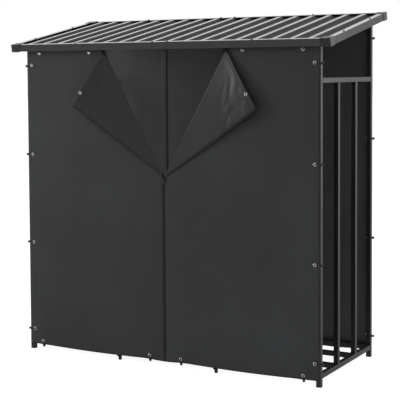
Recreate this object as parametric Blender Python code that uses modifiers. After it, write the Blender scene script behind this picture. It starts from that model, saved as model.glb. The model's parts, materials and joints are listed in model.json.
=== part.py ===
"""Lean-to firewood log rack: a square-tube steel frame under a ribbed sheet roof that falls to the
front, with a zipped two-part fabric front, a fabric back and two corner flaps folded out at the top
of the zip.  Metres, +Z up, the front faces -Y, and the origin is on the floor under the middle."""

import math

import bmesh
import bpy
from mathutils import Matrix, Vector

# ---- driving dimensions: frame -------------------------------------------------------------------
GAP = 0.0003                    # clearance between pieces that touch
FRAME_WIDTH = 1.716             # over the posts
FRAME_DEPTH = 0.700             # over the posts
TUBE = 0.025                    # square tube, outside
TUBE_WALL = 0.001
TUBE_CORNER_RADIUS = 0.002
BASE_HEIGHT = 0.039             # floor to the underside of the base rails
SIDE_RAIL_TOP = 1.480           # floor to the top of the upper side rails
BEARER_TUBE = 0.020             # smaller square tube under the floor bars
BEARER_FOOT_RADIUS = 0.009
BEARER_FOOT_INSET = 0.014       # from the bearer's end to its foot's centre
FOOT_THICKNESS = 0.004          # plastic pad under each corner post
FOOT_PLUG_LENGTH = 0.018        # the part of the foot that goes up inside the tube
FOOT_PLUG_CLEARANCE = 0.0005    # the tube's inside corners are round

# ---- driving dimensions: roof --------------------------------------------------------------------
ROOF_FRONT_TOP = 1.663          # floor to the top edge at the eave
ROOF_REAR_TOP = 1.815           # floor to the top edge at the rear
ROOF_FRONT_OVERHANG = 0.049
ROOF_REAR_OVERHANG = 0.019
ROOF_SIDE_OVERHANG = 0.067
SHEET_GAUGE = 0.0005
RIDGE_HEIGHT = 0.012
RIDGE_PITCH = 0.0965
RIDGE_CROWN = 0.022             # width of the flat top of a ridge
RIDGE_FOOT = 0.042              # width of a ridge where it meets the valley
FIRST_RIDGE = 0.098             # left edge of the roof to the first ridge's centre
TRIM_GAUGE = 0.001
TRIM_HEIGHT = 0.037
EAVE_FLANGE = 0.022             # top flange of the front and rear trims
VERGE_FLANGE = 0.030            # top flange of the side trims
TRIM_RETURN = 0.012             # folded-in bottom edge of every trim
CAP_LEG = 0.052                 # leg of a roof corner cap
CAP_HEIGHT = 0.040
CAP_WALL = 0.0015

# ---- driving dimensions: covers and zip ----------------------------------------------------------
COVER_THICKNESS = 0.002
COVER_SIDE_INSET = 0.002        # cover edge to the outer face of the post
COVER_BOTTOM = 0.025
FRONT_COVER_TOP = 1.625         # just under the eave trim
REAR_COVER_TOP = 1.785
EYELET_BORE_RADIUS = 0.005
EYELET_OFFSET = 0.005           # inner face of the post to the eyelets' centres
EYELET_ROWS = 4
LOWEST_EYELET = 0.110
FRONT_TOP_EYELET = 1.548
REAR_TOP_EYELET = 1.680
FOLD_TOP_OFFSET = 0.360         # middle of the rack to the top of each flap's fold
FOLD_APEX = 0.980               # height at which the two folds meet
FLAP_REST_ANGLE = 172.0         # degrees the flap is turned out from its closed place
ZIP_WIDTH = 0.010
ZIP_BOTTOM = 0.047
SLIDER_SIZE = (0.012, 0.003, 0.016)
SLIDER_EDGE = 0.0008            # rounding of the slider's edges
SLIDER_DROP = 0.003             # top of the slider to the apex of the folds
LUG_SIZE = (0.0016, 0.0046, 0.005)
LUG_SINK = 0.0006               # how far each lug is let into the slider's plate
PULL_WIDTH = 0.007
PULL_LENGTH = 0.034
PULL_THICKNESS = 0.0016
PULL_EYE_RADIUS = 0.0026
PULL_BORE_RADIUS = 0.0014
PIN_RADIUS = 0.001
PIN_STANDOFF = 0.0032           # slider plate to the pin's centre

# ---- driving dimensions: ball bungees ------------------------------------------------------------
CORD_RADIUS = 0.002
BALL_RADIUS = 0.007
LOOP_CORNER_RADIUS = 0.004
LOOP_ARC_STEPS = 3
BALL_SETBACK = 0.005            # front face of the post to the ball's centre

# ---- worked-out sizes ----------------------------------------------------------------------------
HALF_WIDTH = FRAME_WIDTH / 2
HALF_DEPTH = FRAME_DEPTH / 2
POST_X = HALF_WIDTH - TUBE / 2
POST_Y = HALF_DEPTH - TUBE / 2
ROOF_HALF_WIDTH = HALF_WIDTH + ROOF_SIDE_OVERHANG
EAVE_Y = -HALF_DEPTH - ROOF_FRONT_OVERHANG
ROOF_RUN = FRAME_DEPTH + ROOF_FRONT_OVERHANG + ROOF_REAR_OVERHANG
ROOF_RISE = ROOF_REAR_TOP - ROOF_FRONT_TOP
ROOF_ANGLE = math.atan2(ROOF_RISE, ROOF_RUN)
ROOF_LENGTH = math.hypot(ROOF_RUN, ROOF_RISE)
ROOF_SLOPE = ROOF_RISE / ROOF_RUN
SHEET_DEPTH = TRIM_GAUGE + GAP + RIDGE_HEIGHT + SHEET_GAUGE
RAFTER_DEPTH = SHEET_DEPTH + GAP
BASE_RAIL_Z = BASE_HEIGHT + TUBE / 2
BASE_RAIL_TOP = BASE_HEIGHT + TUBE
SIDE_RAIL_Z = SIDE_RAIL_TOP - TUBE / 2
BAR_Y = FRAME_DEPTH / 6         # the bars part the depth into thirds
BEARER_X = FRAME_WIDTH / 6      # the bearers part the width into thirds
POST_BOTTOM = FOOT_THICKNESS + GAP
FRONT_COVER_Y = -HALF_DEPTH - GAP - COVER_THICKNESS / 2
REAR_COVER_Y = HALF_DEPTH + GAP + COVER_THICKNESS / 2
FRONT_COVER_FACE = FRONT_COVER_Y - COVER_THICKNESS / 2
COVER_HALF_WIDTH = HALF_WIDTH - COVER_SIDE_INSET
COVER_INNER_EDGE = ZIP_WIDTH / 2 + GAP
EYELET_X = HALF_WIDTH - TUBE - EYELET_OFFSET
FOLD_Y = FRONT_COVER_FACE - GAP / 2
SLIDER_TOP = FOLD_APEX - SLIDER_DROP
SLIDER_FACE = FRONT_COVER_FACE - GAP - SLIDER_SIZE[1]
PIN_Y = SLIDER_FACE - PIN_STANDOFF
PIN_Z = SLIDER_TOP - LUG_SIZE[2] / 2

RIGHT_ANGLE = math.pi / 2
ALONG_X = (0, RIGHT_ANGLE, 0)
ALONG_Y = (-RIGHT_ANGLE, 0, 0)
ALONG_Z = (0, 0, 0)
FACING_FRONT = (RIGHT_ANGLE, 0, 0)
FACING_SIDE = (RIGHT_ANGLE, 0, RIGHT_ANGLE)
SMOOTH_ANGLE = math.radians(35)
WELD_DISTANCE = 0.00001
SIDES = (("left", -1), ("right", 1))


# ---- scene helpers -------------------------------------------------------------------------------
def clear_scene():
    for thing in list(bpy.data.objects):
        bpy.data.objects.remove(thing, do_unlink=True)


def new_collection(name):
    collection = bpy.data.collections.new(name)
    bpy.context.scene.collection.children.link(collection)
    return collection


def make_material(name, colour, roughness, metallic):
    material = bpy.data.materials.new(name)
    material.use_nodes = True
    shader = material.node_tree.nodes["Principled BSDF"]
    shader.inputs["Base Color"].default_value = (*colour, 1.0)
    shader.inputs["Roughness"].default_value = roughness
    shader.inputs["Metallic"].default_value = metallic
    return material


def place(name, data, collection, material, location=(0, 0, 0), rotation=(0, 0, 0), parent=None):
    """One named object with its own material."""
    thing = bpy.data.objects.new(name, data)
    collection.objects.link(thing)
    thing.location = location
    thing.rotation_euler = rotation
    thing.parent = parent
    if material is not None and not data.materials:
        data.materials.append(material)
    return thing


def mesh_from(name, build):
    """Mesh data made by a function that fills a bmesh."""
    mesh = bpy.data.meshes.new(name)
    shape = bmesh.new()
    build(shape)
    bmesh.ops.recalc_face_normals(shape, faces=shape.faces)
    shape.to_mesh(mesh)
    shape.free()
    return mesh


def box_mesh(name, size, centre=(0, 0, 0)):
    def build(shape):
        bmesh.ops.create_cube(shape, size=1.0)
        bmesh.ops.scale(shape, vec=size, verts=shape.verts)
        bmesh.ops.translate(shape, vec=centre, verts=shape.verts)

    return mesh_from(name, build)


def cylinder_mesh(name, radius, length, centre=(0, 0, 0), along_x=False, sides=16):
    def build(shape):
        bmesh.ops.create_cone(shape, cap_ends=True, segments=sides, radius1=radius,
                              radius2=radius, depth=length)
        if along_x:
            bmesh.ops.rotate(shape, matrix=Matrix.Rotation(RIGHT_ANGLE, 3, "Y"), verts=shape.verts)
        bmesh.ops.translate(shape, vec=centre, verts=shape.verts)

    return mesh_from(name, build)


def shade_round(mesh):
    mesh.shade_smooth()
    mesh.set_sharp_from_angle(angle=SMOOTH_ANGLE)


def strip_mesh(name, outline, length, closed):
    """An open surface: a flat outline in XY drawn out along +Z."""
    def build(shape):
        corners = [shape.verts.new((x, y, 0)) for x, y in outline]
        ends = corners + corners[:1] if closed else corners
        edges = [shape.edges.new(pair) for pair in zip(ends, ends[1:])]
        drawn = bmesh.ops.extrude_edge_only(shape, edges=edges)["geom"]
        moved = [item for item in drawn if isinstance(item, bmesh.types.BMVert)]
        bmesh.ops.translate(shape, vec=(0, 0, length), verts=moved)

    return mesh_from(name, build)


def add_thickness(thing, thickness, offset):
    solid = thing.modifiers.new("thickness", "SOLIDIFY")
    solid.thickness = thickness
    solid.offset = offset
    solid.use_even_offset = True


def add_bevel(thing, width, segments=2):
    bevel = thing.modifiers.new("rounded edges", "BEVEL")
    bevel.width = width
    bevel.segments = segments
    bevel.limit_method = "ANGLE"


def add_union(thing, other):
    join = thing.modifiers.new("joined to " + other.name, "BOOLEAN")
    join.operation = "UNION"
    join.solver = "EXACT"
    join.object = other


def hide_cutter(cutter):
    cutter.hide_render = True
    cutter.display_type = "WIRE"


def evaluated_mesh(thing):
    """The object's mesh with its modifiers or its curve's bevel in it."""
    bpy.context.view_layer.update()
    graph = bpy.context.evaluated_depsgraph_get()
    mesh = bpy.data.meshes.new_from_object(thing.evaluated_get(graph), depsgraph=graph)
    shape = bmesh.new()
    shape.from_mesh(mesh)
    bmesh.ops.remove_doubles(shape, verts=shape.verts, dist=WELD_DISTANCE)
    shape.to_mesh(mesh)
    shape.free()
    return mesh


def flat_plate(name, outlines, thickness):
    """Curve data: closed outlines filled in XY, with thickness along Z.  Inner outlines are holes."""
    curve = bpy.data.curves.new(name, "CURVE")
    curve.dimensions = "2D"
    curve.fill_mode = "BOTH"
    curve.extrude = thickness / 2
    for outline in outlines:
        spline = curve.splines.new("POLY")
        spline.points.add(len(outline) - 1)
        for point, (x, y) in zip(spline.points, outline):
            point.co = (x, y, 0, 1)
        spline.use_cyclic_u = True
    return curve


def arc(centre, radius, start, end, steps):
    """Points of an arc from one angle to the other, both ends in it, in degrees."""
    points = []
    for step in range(steps + 1):
        angle = math.radians(start + (end - start) * step / steps)
        points.append((centre[0] + radius * math.cos(angle), centre[1] + radius * math.sin(angle)))
    return points


def circle(centre, radius, sides=12):
    return arc(centre, radius, 0, 360, sides)[:-1]


def rounded_rectangle(left, right, low, high, radius, steps):
    return (arc((right - radius, high - radius), radius, 0, 90, steps)
            + arc((left + radius, high - radius), radius, 90, 180, steps)
            + arc((left + radius, low + radius), radius, 180, 270, steps)
            + arc((right - radius, low + radius), radius, 270, 360, steps))


# ---- frame ---------------------------------------------------------------------------------------
def square_tube(name, size, length, collection, material, location, rotation=ALONG_Z, parent=None):
    """Hollow square tube, open at both ends, from its location along its own +Z."""
    half = size / 2
    outline = rounded_rectangle(-half, half, -half, half, TUBE_CORNER_RADIUS, 2)
    mesh = strip_mesh(name, outline, length, closed=True)
    shade_round(mesh)
    tube = place(name, mesh, collection, material, location, rotation, parent)
    add_thickness(tube, TUBE_WALL, -1)
    return tube


def rafter_underside(y):
    """Height of the rafters' underside at a distance y from the middle of the rack."""
    top_edge = ROOF_FRONT_TOP + ROOF_SLOPE * (y - EAVE_Y)
    return top_edge - (RAFTER_DEPTH + TUBE) / math.cos(ROOF_ANGLE)


def sheet_underside(y):
    top_edge = ROOF_FRONT_TOP + ROOF_SLOPE * (y - EAVE_Y)
    return top_edge - SHEET_DEPTH / math.cos(ROOF_ANGLE)


def make_post(name, x, y, bottom, collection, material):
    """Upright tube whose top is cut to the slope of the rafter that lies on it."""
    clearance = GAP / math.cos(ROOF_ANGLE)
    length = rafter_underside(y) - clearance - bottom
    post = square_tube(name, TUBE, length, collection, material, (x, y, bottom))
    for vertex in post.data.vertices:
        if vertex.co.z > length / 2:
            vertex.co.z += ROOF_SLOPE * vertex.co.y


def make_frame(collection, steel):
    for side, sign in SIDES:
        make_post("front_post_" + side, sign * POST_X, -POST_Y, POST_BOTTOM, collection, steel)
        make_post("rear_post_" + side, sign * POST_X, POST_Y, POST_BOTTOM, collection, steel)
    centre_bottom = BASE_RAIL_TOP + GAP
    make_post("front_post_centre", 0, -POST_Y, centre_bottom, collection, steel)
    make_post("rear_post_centre", 0, POST_Y, centre_bottom, collection, steel)

    across = FRAME_WIDTH - 2 * (TUBE + GAP)
    lengthwise = FRAME_DEPTH - 2 * (TUBE + GAP)
    rows = (("base_rail_front", -POST_Y), ("base_rail_rear", POST_Y),
            ("floor_bar_front", -BAR_Y), ("floor_bar_rear", BAR_Y))
    for name, y in rows:
        square_tube(name, TUBE, across, collection, steel, (-across / 2, y, BASE_RAIL_Z), ALONG_X)

    for side, sign in SIDES:
        x = sign * POST_X
        start = -lengthwise / 2
        square_tube("base_rail_" + side, TUBE, lengthwise, collection, steel,
                    (x, start, BASE_RAIL_Z), ALONG_Y)
        square_tube("side_rail_" + side, TUBE, lengthwise, collection, steel,
                    (x, start, SIDE_RAIL_Z), ALONG_Y)
        bar_bottom = BASE_RAIL_TOP + GAP
        bar_length = SIDE_RAIL_TOP - TUBE - GAP - bar_bottom
        for place_name, y in (("front", -BAR_Y), ("rear", BAR_Y)):
            square_tube("side_bar_" + side + "_" + place_name, TUBE, bar_length, collection, steel,
                        (x, y, bar_bottom))


def make_bearers(collection, cutters, steel):
    """Short-legged cross tubes that carry the base rails and the floor bars at a third of the
    width; each is welded to its two round feet."""
    tube_z = BASE_HEIGHT - GAP - BEARER_TUBE / 2
    foot_height = tube_z - BEARER_TUBE / 2 + TUBE_WALL / 2
    for side, sign in SIDES:
        x = sign * BEARER_X
        name = "floor_bearer_" + side
        bearer = square_tube(name, BEARER_TUBE, FRAME_DEPTH, collection, steel,
                             (x, -HALF_DEPTH, tube_z), ALONG_Y)
        for end in (-1, 1):
            centre = (x, end * (HALF_DEPTH - BEARER_FOOT_INSET), foot_height / 2)
            mesh = cylinder_mesh(name + "_foot", BEARER_FOOT_RADIUS, foot_height, centre)
            foot = place(name + "_foot", mesh, cutters, steel)
            hide_cutter(foot)
            add_union(bearer, foot)


def make_roof_tubes(collection, steel):
    """Three rafters on the posts, and the beams between them at the front and the rear."""
    rafter_length = (FRAME_DEPTH - TUBE * math.sin(ROOF_ANGLE)) / math.cos(ROOF_ANGLE)
    top_y = -HALF_DEPTH
    top_z = ROOF_FRONT_TOP + ROOF_SLOPE * (top_y - EAVE_Y) - RAFTER_DEPTH / math.cos(ROOF_ANGLE)
    start_y = top_y + TUBE / 2 * math.sin(ROOF_ANGLE)
    start_z = top_z - TUBE / 2 * math.cos(ROOF_ANGLE)
    for name, x in (("rafter_left", -POST_X), ("rafter_centre", 0), ("rafter_right", POST_X)):
        square_tube(name, TUBE, rafter_length, collection, steel, (x, start_y, start_z),
                    (ROOF_ANGLE - RIGHT_ANGLE, 0, 0))

    beam_length = HALF_WIDTH - TUBE - GAP - (TUBE / 2 + GAP)
    rows = (("front", -POST_Y, sheet_underside(-HALF_DEPTH)),
            ("rear", POST_Y, sheet_underside(HALF_DEPTH - TUBE)))
    for row, y, underside in rows:
        z = underside - GAP - TUBE / 2
        for side, sign in SIDES:
            start_x = TUBE / 2 + GAP if sign > 0 else -TUBE / 2 - GAP - beam_length
            square_tube("top_beam_" + row + "_" + side, TUBE, beam_length, collection, steel,
                        (start_x, y, z), ALONG_X)


def make_feet(collection, plastic):
    """A pad the size of the tube, with a plug that goes up inside it."""
    plug = TUBE - 2 * TUBE_WALL - 2 * FOOT_PLUG_CLEARANCE

    def build(shape):
        bmesh.ops.create_cube(shape, size=1.0)
        bmesh.ops.scale(shape, vec=(TUBE, TUBE, FOOT_THICKNESS), verts=shape.verts)
        bmesh.ops.translate(shape, vec=(0, 0, FOOT_THICKNESS / 2), verts=shape.verts)
        top = [face for face in shape.faces if face.normal.z > 0.5]
        bmesh.ops.inset_region(shape, faces=top, thickness=(TUBE - plug) / 2,
                               use_even_offset=True)
        drawn = bmesh.ops.extrude_face_region(shape, geom=top)["geom"]
        bmesh.ops.delete(shape, geom=top, context="FACES_ONLY")
        moved = [item for item in drawn if isinstance(item, bmesh.types.BMVert)]
        bmesh.ops.translate(shape, vec=(0, 0, FOOT_PLUG_LENGTH), verts=moved)

    mesh = mesh_from("foot", build)
    for row, y in (("front", -POST_Y), ("rear", POST_Y)):
        for side, sign in SIDES:
            place("foot_" + row + "_" + side, mesh, collection, plastic, (sign * POST_X, y, 0))


# ---- roof ----------------------------------------------------------------------------------------
def make_roof_plane(collection):
    """Empty on the top edge of the eave: its X is across, its Y up the slope, its Z out of it."""
    plane = bpy.data.objects.new("roof_plane", None)
    collection.objects.link(plane)
    plane.location = (0, EAVE_Y, ROOF_FRONT_TOP)
    plane.rotation_euler = (ROOF_ANGLE, 0, 0)
    return plane


def sheet_profile(low, high):
    """Ribbed outline of a sheet between two distances from the middle of the roof."""
    valley = -SHEET_DEPTH + SHEET_GAUGE / 2
    crown = valley + RIDGE_HEIGHT
    points = [(low, valley)]
    count = int(2 * ROOF_HALF_WIDTH / RIDGE_PITCH)
    for number in range(count):
        centre = -ROOF_HALF_WIDTH + FIRST_RIDGE + number * RIDGE_PITCH
        if low + RIDGE_FOOT / 2 < centre < high - RIDGE_FOOT / 2:
            points += [(centre - RIDGE_FOOT / 2, valley), (centre - RIDGE_CROWN / 2, crown),
                       (centre + RIDGE_CROWN / 2, crown), (centre + RIDGE_FOOT / 2, valley)]
    points.append((high, valley))
    return points


def make_sheets(collection, plane, steel):
    edge = ROOF_HALF_WIDTH - TRIM_GAUGE - GAP
    length = ROOF_LENGTH - 2 * (TRIM_GAUGE + GAP)
    ranges = {"left": (-edge, -GAP / 2), "right": (GAP / 2, edge)}
    for side, (low, high) in ranges.items():
        name = "roof_sheet_" + side
        mesh = strip_mesh(name, sheet_profile(low, high), length, closed=False)
        mesh.transform(Matrix.Rotation(RIGHT_ANGLE, 4, "X"))
        sheet = place(name, mesh, collection, steel, (0, TRIM_GAUGE + GAP + length, 0),
                      parent=plane)
        add_thickness(sheet, SHEET_GAUGE, 0)


def trim_outline(flange):
    """Middle line of a trim's folded section: top flange, web and bottom return."""
    half = TRIM_GAUGE / 2
    return [(flange, -half), (half, -half), (half, half - TRIM_HEIGHT),
            (TRIM_RETURN, half - TRIM_HEIGHT)]


def make_trims(collection, plane, steel):
    """Folded edge trims.  Front and rear trims are two lengths that meet in the middle."""
    half_length = ROOF_HALF_WIDTH - GAP / 2
    for row in ("front", "rear"):
        direction = 1 if row == "front" else -1
        edge = 0 if row == "front" else ROOF_LENGTH
        for side, sign in SIDES:
            name = row + "_trim_" + side
            mesh = strip_mesh(name, trim_outline(EAVE_FLANGE), half_length, closed=False)
            section = Matrix(((0, 0, 1, 0), (direction, 0, 0, 0), (0, 1, 0, 0), (0, 0, 0, 1)))
            mesh.transform(section)
            start = GAP / 2 if sign > 0 else -ROOF_HALF_WIDTH
            trim = place(name, mesh, collection, steel, (start, edge, 0), parent=plane)
            add_thickness(trim, TRIM_GAUGE, 0)

    side_length = ROOF_LENGTH - 2 * (EAVE_FLANGE + GAP)
    for side, sign in SIDES:
        name = "side_trim_" + side
        mesh = strip_mesh(name, trim_outline(VERGE_FLANGE), side_length, closed=False)
        section = Matrix(((-sign, 0, 0, 0), (0, 0, 1, 0), (0, 1, 0, 0), (0, 0, 0, 1)))
        mesh.transform(section)
        trim = place(name, mesh, collection, steel,
                     (sign * ROOF_HALF_WIDTH, EAVE_FLANGE + GAP, 0), parent=plane)
        add_thickness(trim, TRIM_GAUGE, 0)


def make_corner_caps(collection, plane, plastic):
    """Three-sided plastic caps over the corners of the trims."""
    for row, direction, edge in (("front", 1, 0), ("rear", -1, ROOF_LENGTH)):
        for side, sign in SIDES:
            def build(shape, direction=direction, sign=sign):
                bmesh.ops.create_cube(shape, size=1.0)
                bmesh.ops.scale(shape, vec=(CAP_LEG, CAP_LEG, CAP_HEIGHT), verts=shape.verts)
                centre = (-sign * CAP_LEG / 2, direction * CAP_LEG / 2, -CAP_HEIGHT / 2)
                bmesh.ops.translate(shape, vec=centre, verts=shape.verts)
                inner = [face for face in shape.faces
                         if face.normal.z < -0.5 or face.normal.x * sign < -0.5
                         or face.normal.y * direction > 0.5]
                bmesh.ops.delete(shape, geom=inner, context="FACES")

            name = "corner_cap_" + row + "_" + side
            mesh = mesh_from(name, build)
            location = (sign * (ROOF_HALF_WIDTH + GAP), edge - direction * GAP, GAP)
            cap = place(name, mesh, collection, plastic, location, parent=plane)
            add_thickness(cap, CAP_WALL, 1)


# ---- covers and zip ------------------------------------------------------------------------------
def eyelet_heights(top):
    step = (top - LOWEST_EYELET) / (EYELET_ROWS - 1)
    return [LOWEST_EYELET + step * row for row in range(EYELET_ROWS)]


def make_covers(collection, fabric):
    for side, sign in SIDES:
        outline = [(COVER_INNER_EDGE, COVER_BOTTOM), (COVER_HALF_WIDTH, COVER_BOTTOM),
                   (COVER_HALF_WIDTH, FRONT_COVER_TOP), (FOLD_TOP_OFFSET, FRONT_COVER_TOP),
                   (COVER_INNER_EDGE, FOLD_APEX)]
        holes = [circle((EYELET_X, z), EYELET_BORE_RADIUS) for z in eyelet_heights(FRONT_TOP_EYELET)]
        mirrored = [[(sign * x, z) for x, z in loop] for loop in [outline] + holes]
        curve = flat_plate("front_cover_" + side, mirrored, COVER_THICKNESS)
        place("front_cover_" + side, curve, collection, fabric, (0, FRONT_COVER_Y, 0),
              FACING_FRONT)

    outline = [(-COVER_HALF_WIDTH, COVER_BOTTOM), (COVER_HALF_WIDTH, COVER_BOTTOM),
               (COVER_HALF_WIDTH, REAR_COVER_TOP), (-COVER_HALF_WIDTH, REAR_COVER_TOP)]
    holes = [circle((sign * EYELET_X, z), EYELET_BORE_RADIUS)
             for z in eyelet_heights(REAR_TOP_EYELET) for sign in (-1, 1)]
    curve = flat_plate("rear_cover", [outline] + holes, COVER_THICKNESS)
    place("rear_cover", curve, collection, fabric, (0, REAR_COVER_Y, 0), FACING_FRONT)


def make_flaps(collection, fabric):
    """The cover's two top inner corners, each turned out about its fold; the origin is on the fold."""
    for side, sign in SIDES:
        fold_top = Vector((sign * FOLD_TOP_OFFSET, FOLD_Y, FRONT_COVER_TOP))
        apex = Vector((sign * COVER_INNER_EDGE, FOLD_Y, FOLD_APEX))
        corner = Vector((sign * COVER_INNER_EDGE, FOLD_Y, FRONT_COVER_TOP))
        down = (apex - fold_top).normalized()
        reach = corner - fold_top
        across = (reach - down * reach.dot(down)).normalized()
        corner_along = reach.dot(down)
        corner_across = reach.dot(across)
        fold_length = (apex - fold_top).length
        top_start = GAP * corner_along / corner_across
        apex_end = fold_length - GAP * (fold_length - corner_along) / corner_across
        outline = [(GAP, top_start), (corner_across, corner_along), (GAP, apex_end)]
        curve = flat_plate("flap_" + side, [outline], COVER_THICKNESS)
        flap = place("flap_" + side, curve, collection, fabric)
        normal = across.cross(down)
        closed_turn = Matrix((across, down, normal)).transposed().to_4x4()
        inward = Vector((0, COVER_THICKNESS / 2 + GAP / 2, 0))
        rest_turn = Matrix.Rotation(-sign * math.radians(FLAP_REST_ANGLE), 4, down)
        flap.matrix_world = (Matrix.Translation(fold_top) @ rest_turn
                             @ Matrix.Translation(inward) @ closed_turn)


def make_zip(collection, cutters, chain_material, metal):
    """The closed part of the zip, its slider at the apex, and the pull that hangs from it."""
    height = FOLD_APEX - ZIP_BOTTOM
    mesh = box_mesh("zip_chain", (ZIP_WIDTH, COVER_THICKNESS, height), (0, 0, height / 2))
    place("zip_chain", mesh, collection, chain_material, (0, FRONT_COVER_Y, ZIP_BOTTOM))

    plate_y = SLIDER_FACE + SLIDER_SIZE[1] / 2
    plate_z = SLIDER_TOP - SLIDER_SIZE[2] / 2
    plate = box_mesh("zip_slider", SLIDER_SIZE, (0, plate_y - PIN_Y, plate_z - PIN_Z))
    slider = place("zip_slider", plate, collection, metal, (0, PIN_Y, PIN_Z))
    add_bevel(slider, SLIDER_EDGE)
    lug_x = PULL_WIDTH / 2 + GAP + LUG_SIZE[0] / 2
    lug_y = SLIDER_FACE + LUG_SINK - LUG_SIZE[1] / 2
    for side, sign in SIDES:
        lug = place("slider_lug_" + side, box_mesh("slider_lug", LUG_SIZE), cutters, metal,
                    (sign * lug_x, lug_y, PIN_Z))
        hide_cutter(lug)
        add_union(slider, lug)
    pin_mesh = cylinder_mesh("slider_pin", PIN_RADIUS, 2 * lug_x, along_x=True)
    pin = place("slider_pin", pin_mesh, cutters, metal, (0, PIN_Y, PIN_Z))
    hide_cutter(pin)
    add_union(slider, pin)

    half = PULL_THICKNESS / 2
    neck = math.degrees(math.asin(half / PULL_EYE_RADIUS))
    outline = (arc((0, 0), PULL_EYE_RADIUS, neck - 90, 270 - neck, 12)
               + [(-half, -PULL_LENGTH), (half, -PULL_LENGTH)])
    curve = flat_plate("zip_pull", [outline, circle((0, 0), PULL_BORE_RADIUS)], PULL_WIDTH)
    place("zip_pull", curve, collection, metal, (0, PIN_Y, PIN_Z), FACING_SIDE)


# ---- ball bungees --------------------------------------------------------------------------------
def bungee_mesh(sign, collection, material):
    """A cord loop round a front post and through the cover's eyelet, with its ball on the outside."""
    clear = CORD_RADIUS + GAP
    outer = HALF_WIDTH + clear
    front = FRONT_COVER_FACE - clear
    back = -HALF_DEPTH + TUBE + clear
    curve = bpy.data.curves.new("bungee_cord", "CURVE")
    curve.dimensions = "3D"
    curve.bevel_depth = CORD_RADIUS
    curve.bevel_resolution = 2
    loop = rounded_rectangle(EYELET_X, outer, front, back, LOOP_CORNER_RADIUS, LOOP_ARC_STEPS)
    spline = curve.splines.new("POLY")
    spline.points.add(len(loop) - 1)
    for point, (x, y) in zip(spline.points, loop):
        point.co = (sign * (x - EYELET_X), y + POST_Y, 0, 1)
    spline.use_cyclic_u = True
    cord = place("bungee_cord", curve, collection, material)
    cord_mesh = evaluated_mesh(cord)
    bpy.data.objects.remove(cord, do_unlink=True)
    joined = place("bungee_joined", cord_mesh, collection, material)

    def build(shape):
        bmesh.ops.create_uvsphere(shape, u_segments=12, v_segments=8, radius=BALL_RADIUS)
        centre = (sign * (HALF_WIDTH + BALL_RADIUS + GAP - EYELET_X), BALL_SETBACK - TUBE / 2, 0)
        bmesh.ops.translate(shape, vec=centre, verts=shape.verts)

    ball = place("bungee_ball", mesh_from("bungee_ball", build), collection, material)
    add_union(joined, ball)
    mesh = evaluated_mesh(joined)
    shade_round(mesh)
    bpy.data.objects.remove(joined, do_unlink=True)
    bpy.data.objects.remove(ball, do_unlink=True)
    return mesh


def make_bungees(collection, rubber):
    for side, sign in SIDES:
        mesh = bungee_mesh(sign, collection, rubber)
        for number, z in enumerate(eyelet_heights(FRONT_TOP_EYELET), start=1):
            name = "ball_bungee_" + side + "_" + str(number)
            place(name, mesh, collection, rubber, (sign * EYELET_X, -POST_Y, z))


# ---- the whole rack ------------------------------------------------------------------------------
def main():
    clear_scene()
    rack = new_collection("firewood_log_rack")
    cutters = new_collection("joining_shapes")
    tube_steel = make_material("coated_tube", (0.045, 0.048, 0.052), 0.45, 0.3)
    sheet_steel = make_material("coated_sheet", (0.075, 0.080, 0.086), 0.35, 0.4)
    black_plastic = make_material("black_plastic", (0.018, 0.018, 0.020), 0.5, 0.0)
    fabric = make_material("cover_fabric", (0.050, 0.052, 0.056), 0.75, 0.0)
    zip_black = make_material("zip_black", (0.015, 0.015, 0.017), 0.6, 0.0)
    zip_metal = make_material("zip_metal", (0.06, 0.06, 0.065), 0.4, 0.8)
    cord_rubber = make_material("cord_rubber", (0.012, 0.012, 0.013), 0.55, 0.0)

    make_frame(rack, tube_steel)
    make_bearers(rack, cutters, tube_steel)
    make_roof_tubes(rack, tube_steel)
    make_feet(rack, black_plastic)
    plane = make_roof_plane(rack)
    make_sheets(rack, plane, sheet_steel)
    make_trims(rack, plane, sheet_steel)
    make_corner_caps(rack, plane, black_plastic)
    make_covers(rack, fabric)
    make_flaps(rack, fabric)
    make_zip(rack, cutters, zip_black, zip_metal)
    make_bungees(rack, cord_rubber)
    bpy.context.view_layer.update()


main()
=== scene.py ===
import json
import math
from dataclasses import dataclass

import bmesh
import bpy
import numpy as np
from mathutils import Matrix, Vector
from mathutils.bvhtree import BVHTree


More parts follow.
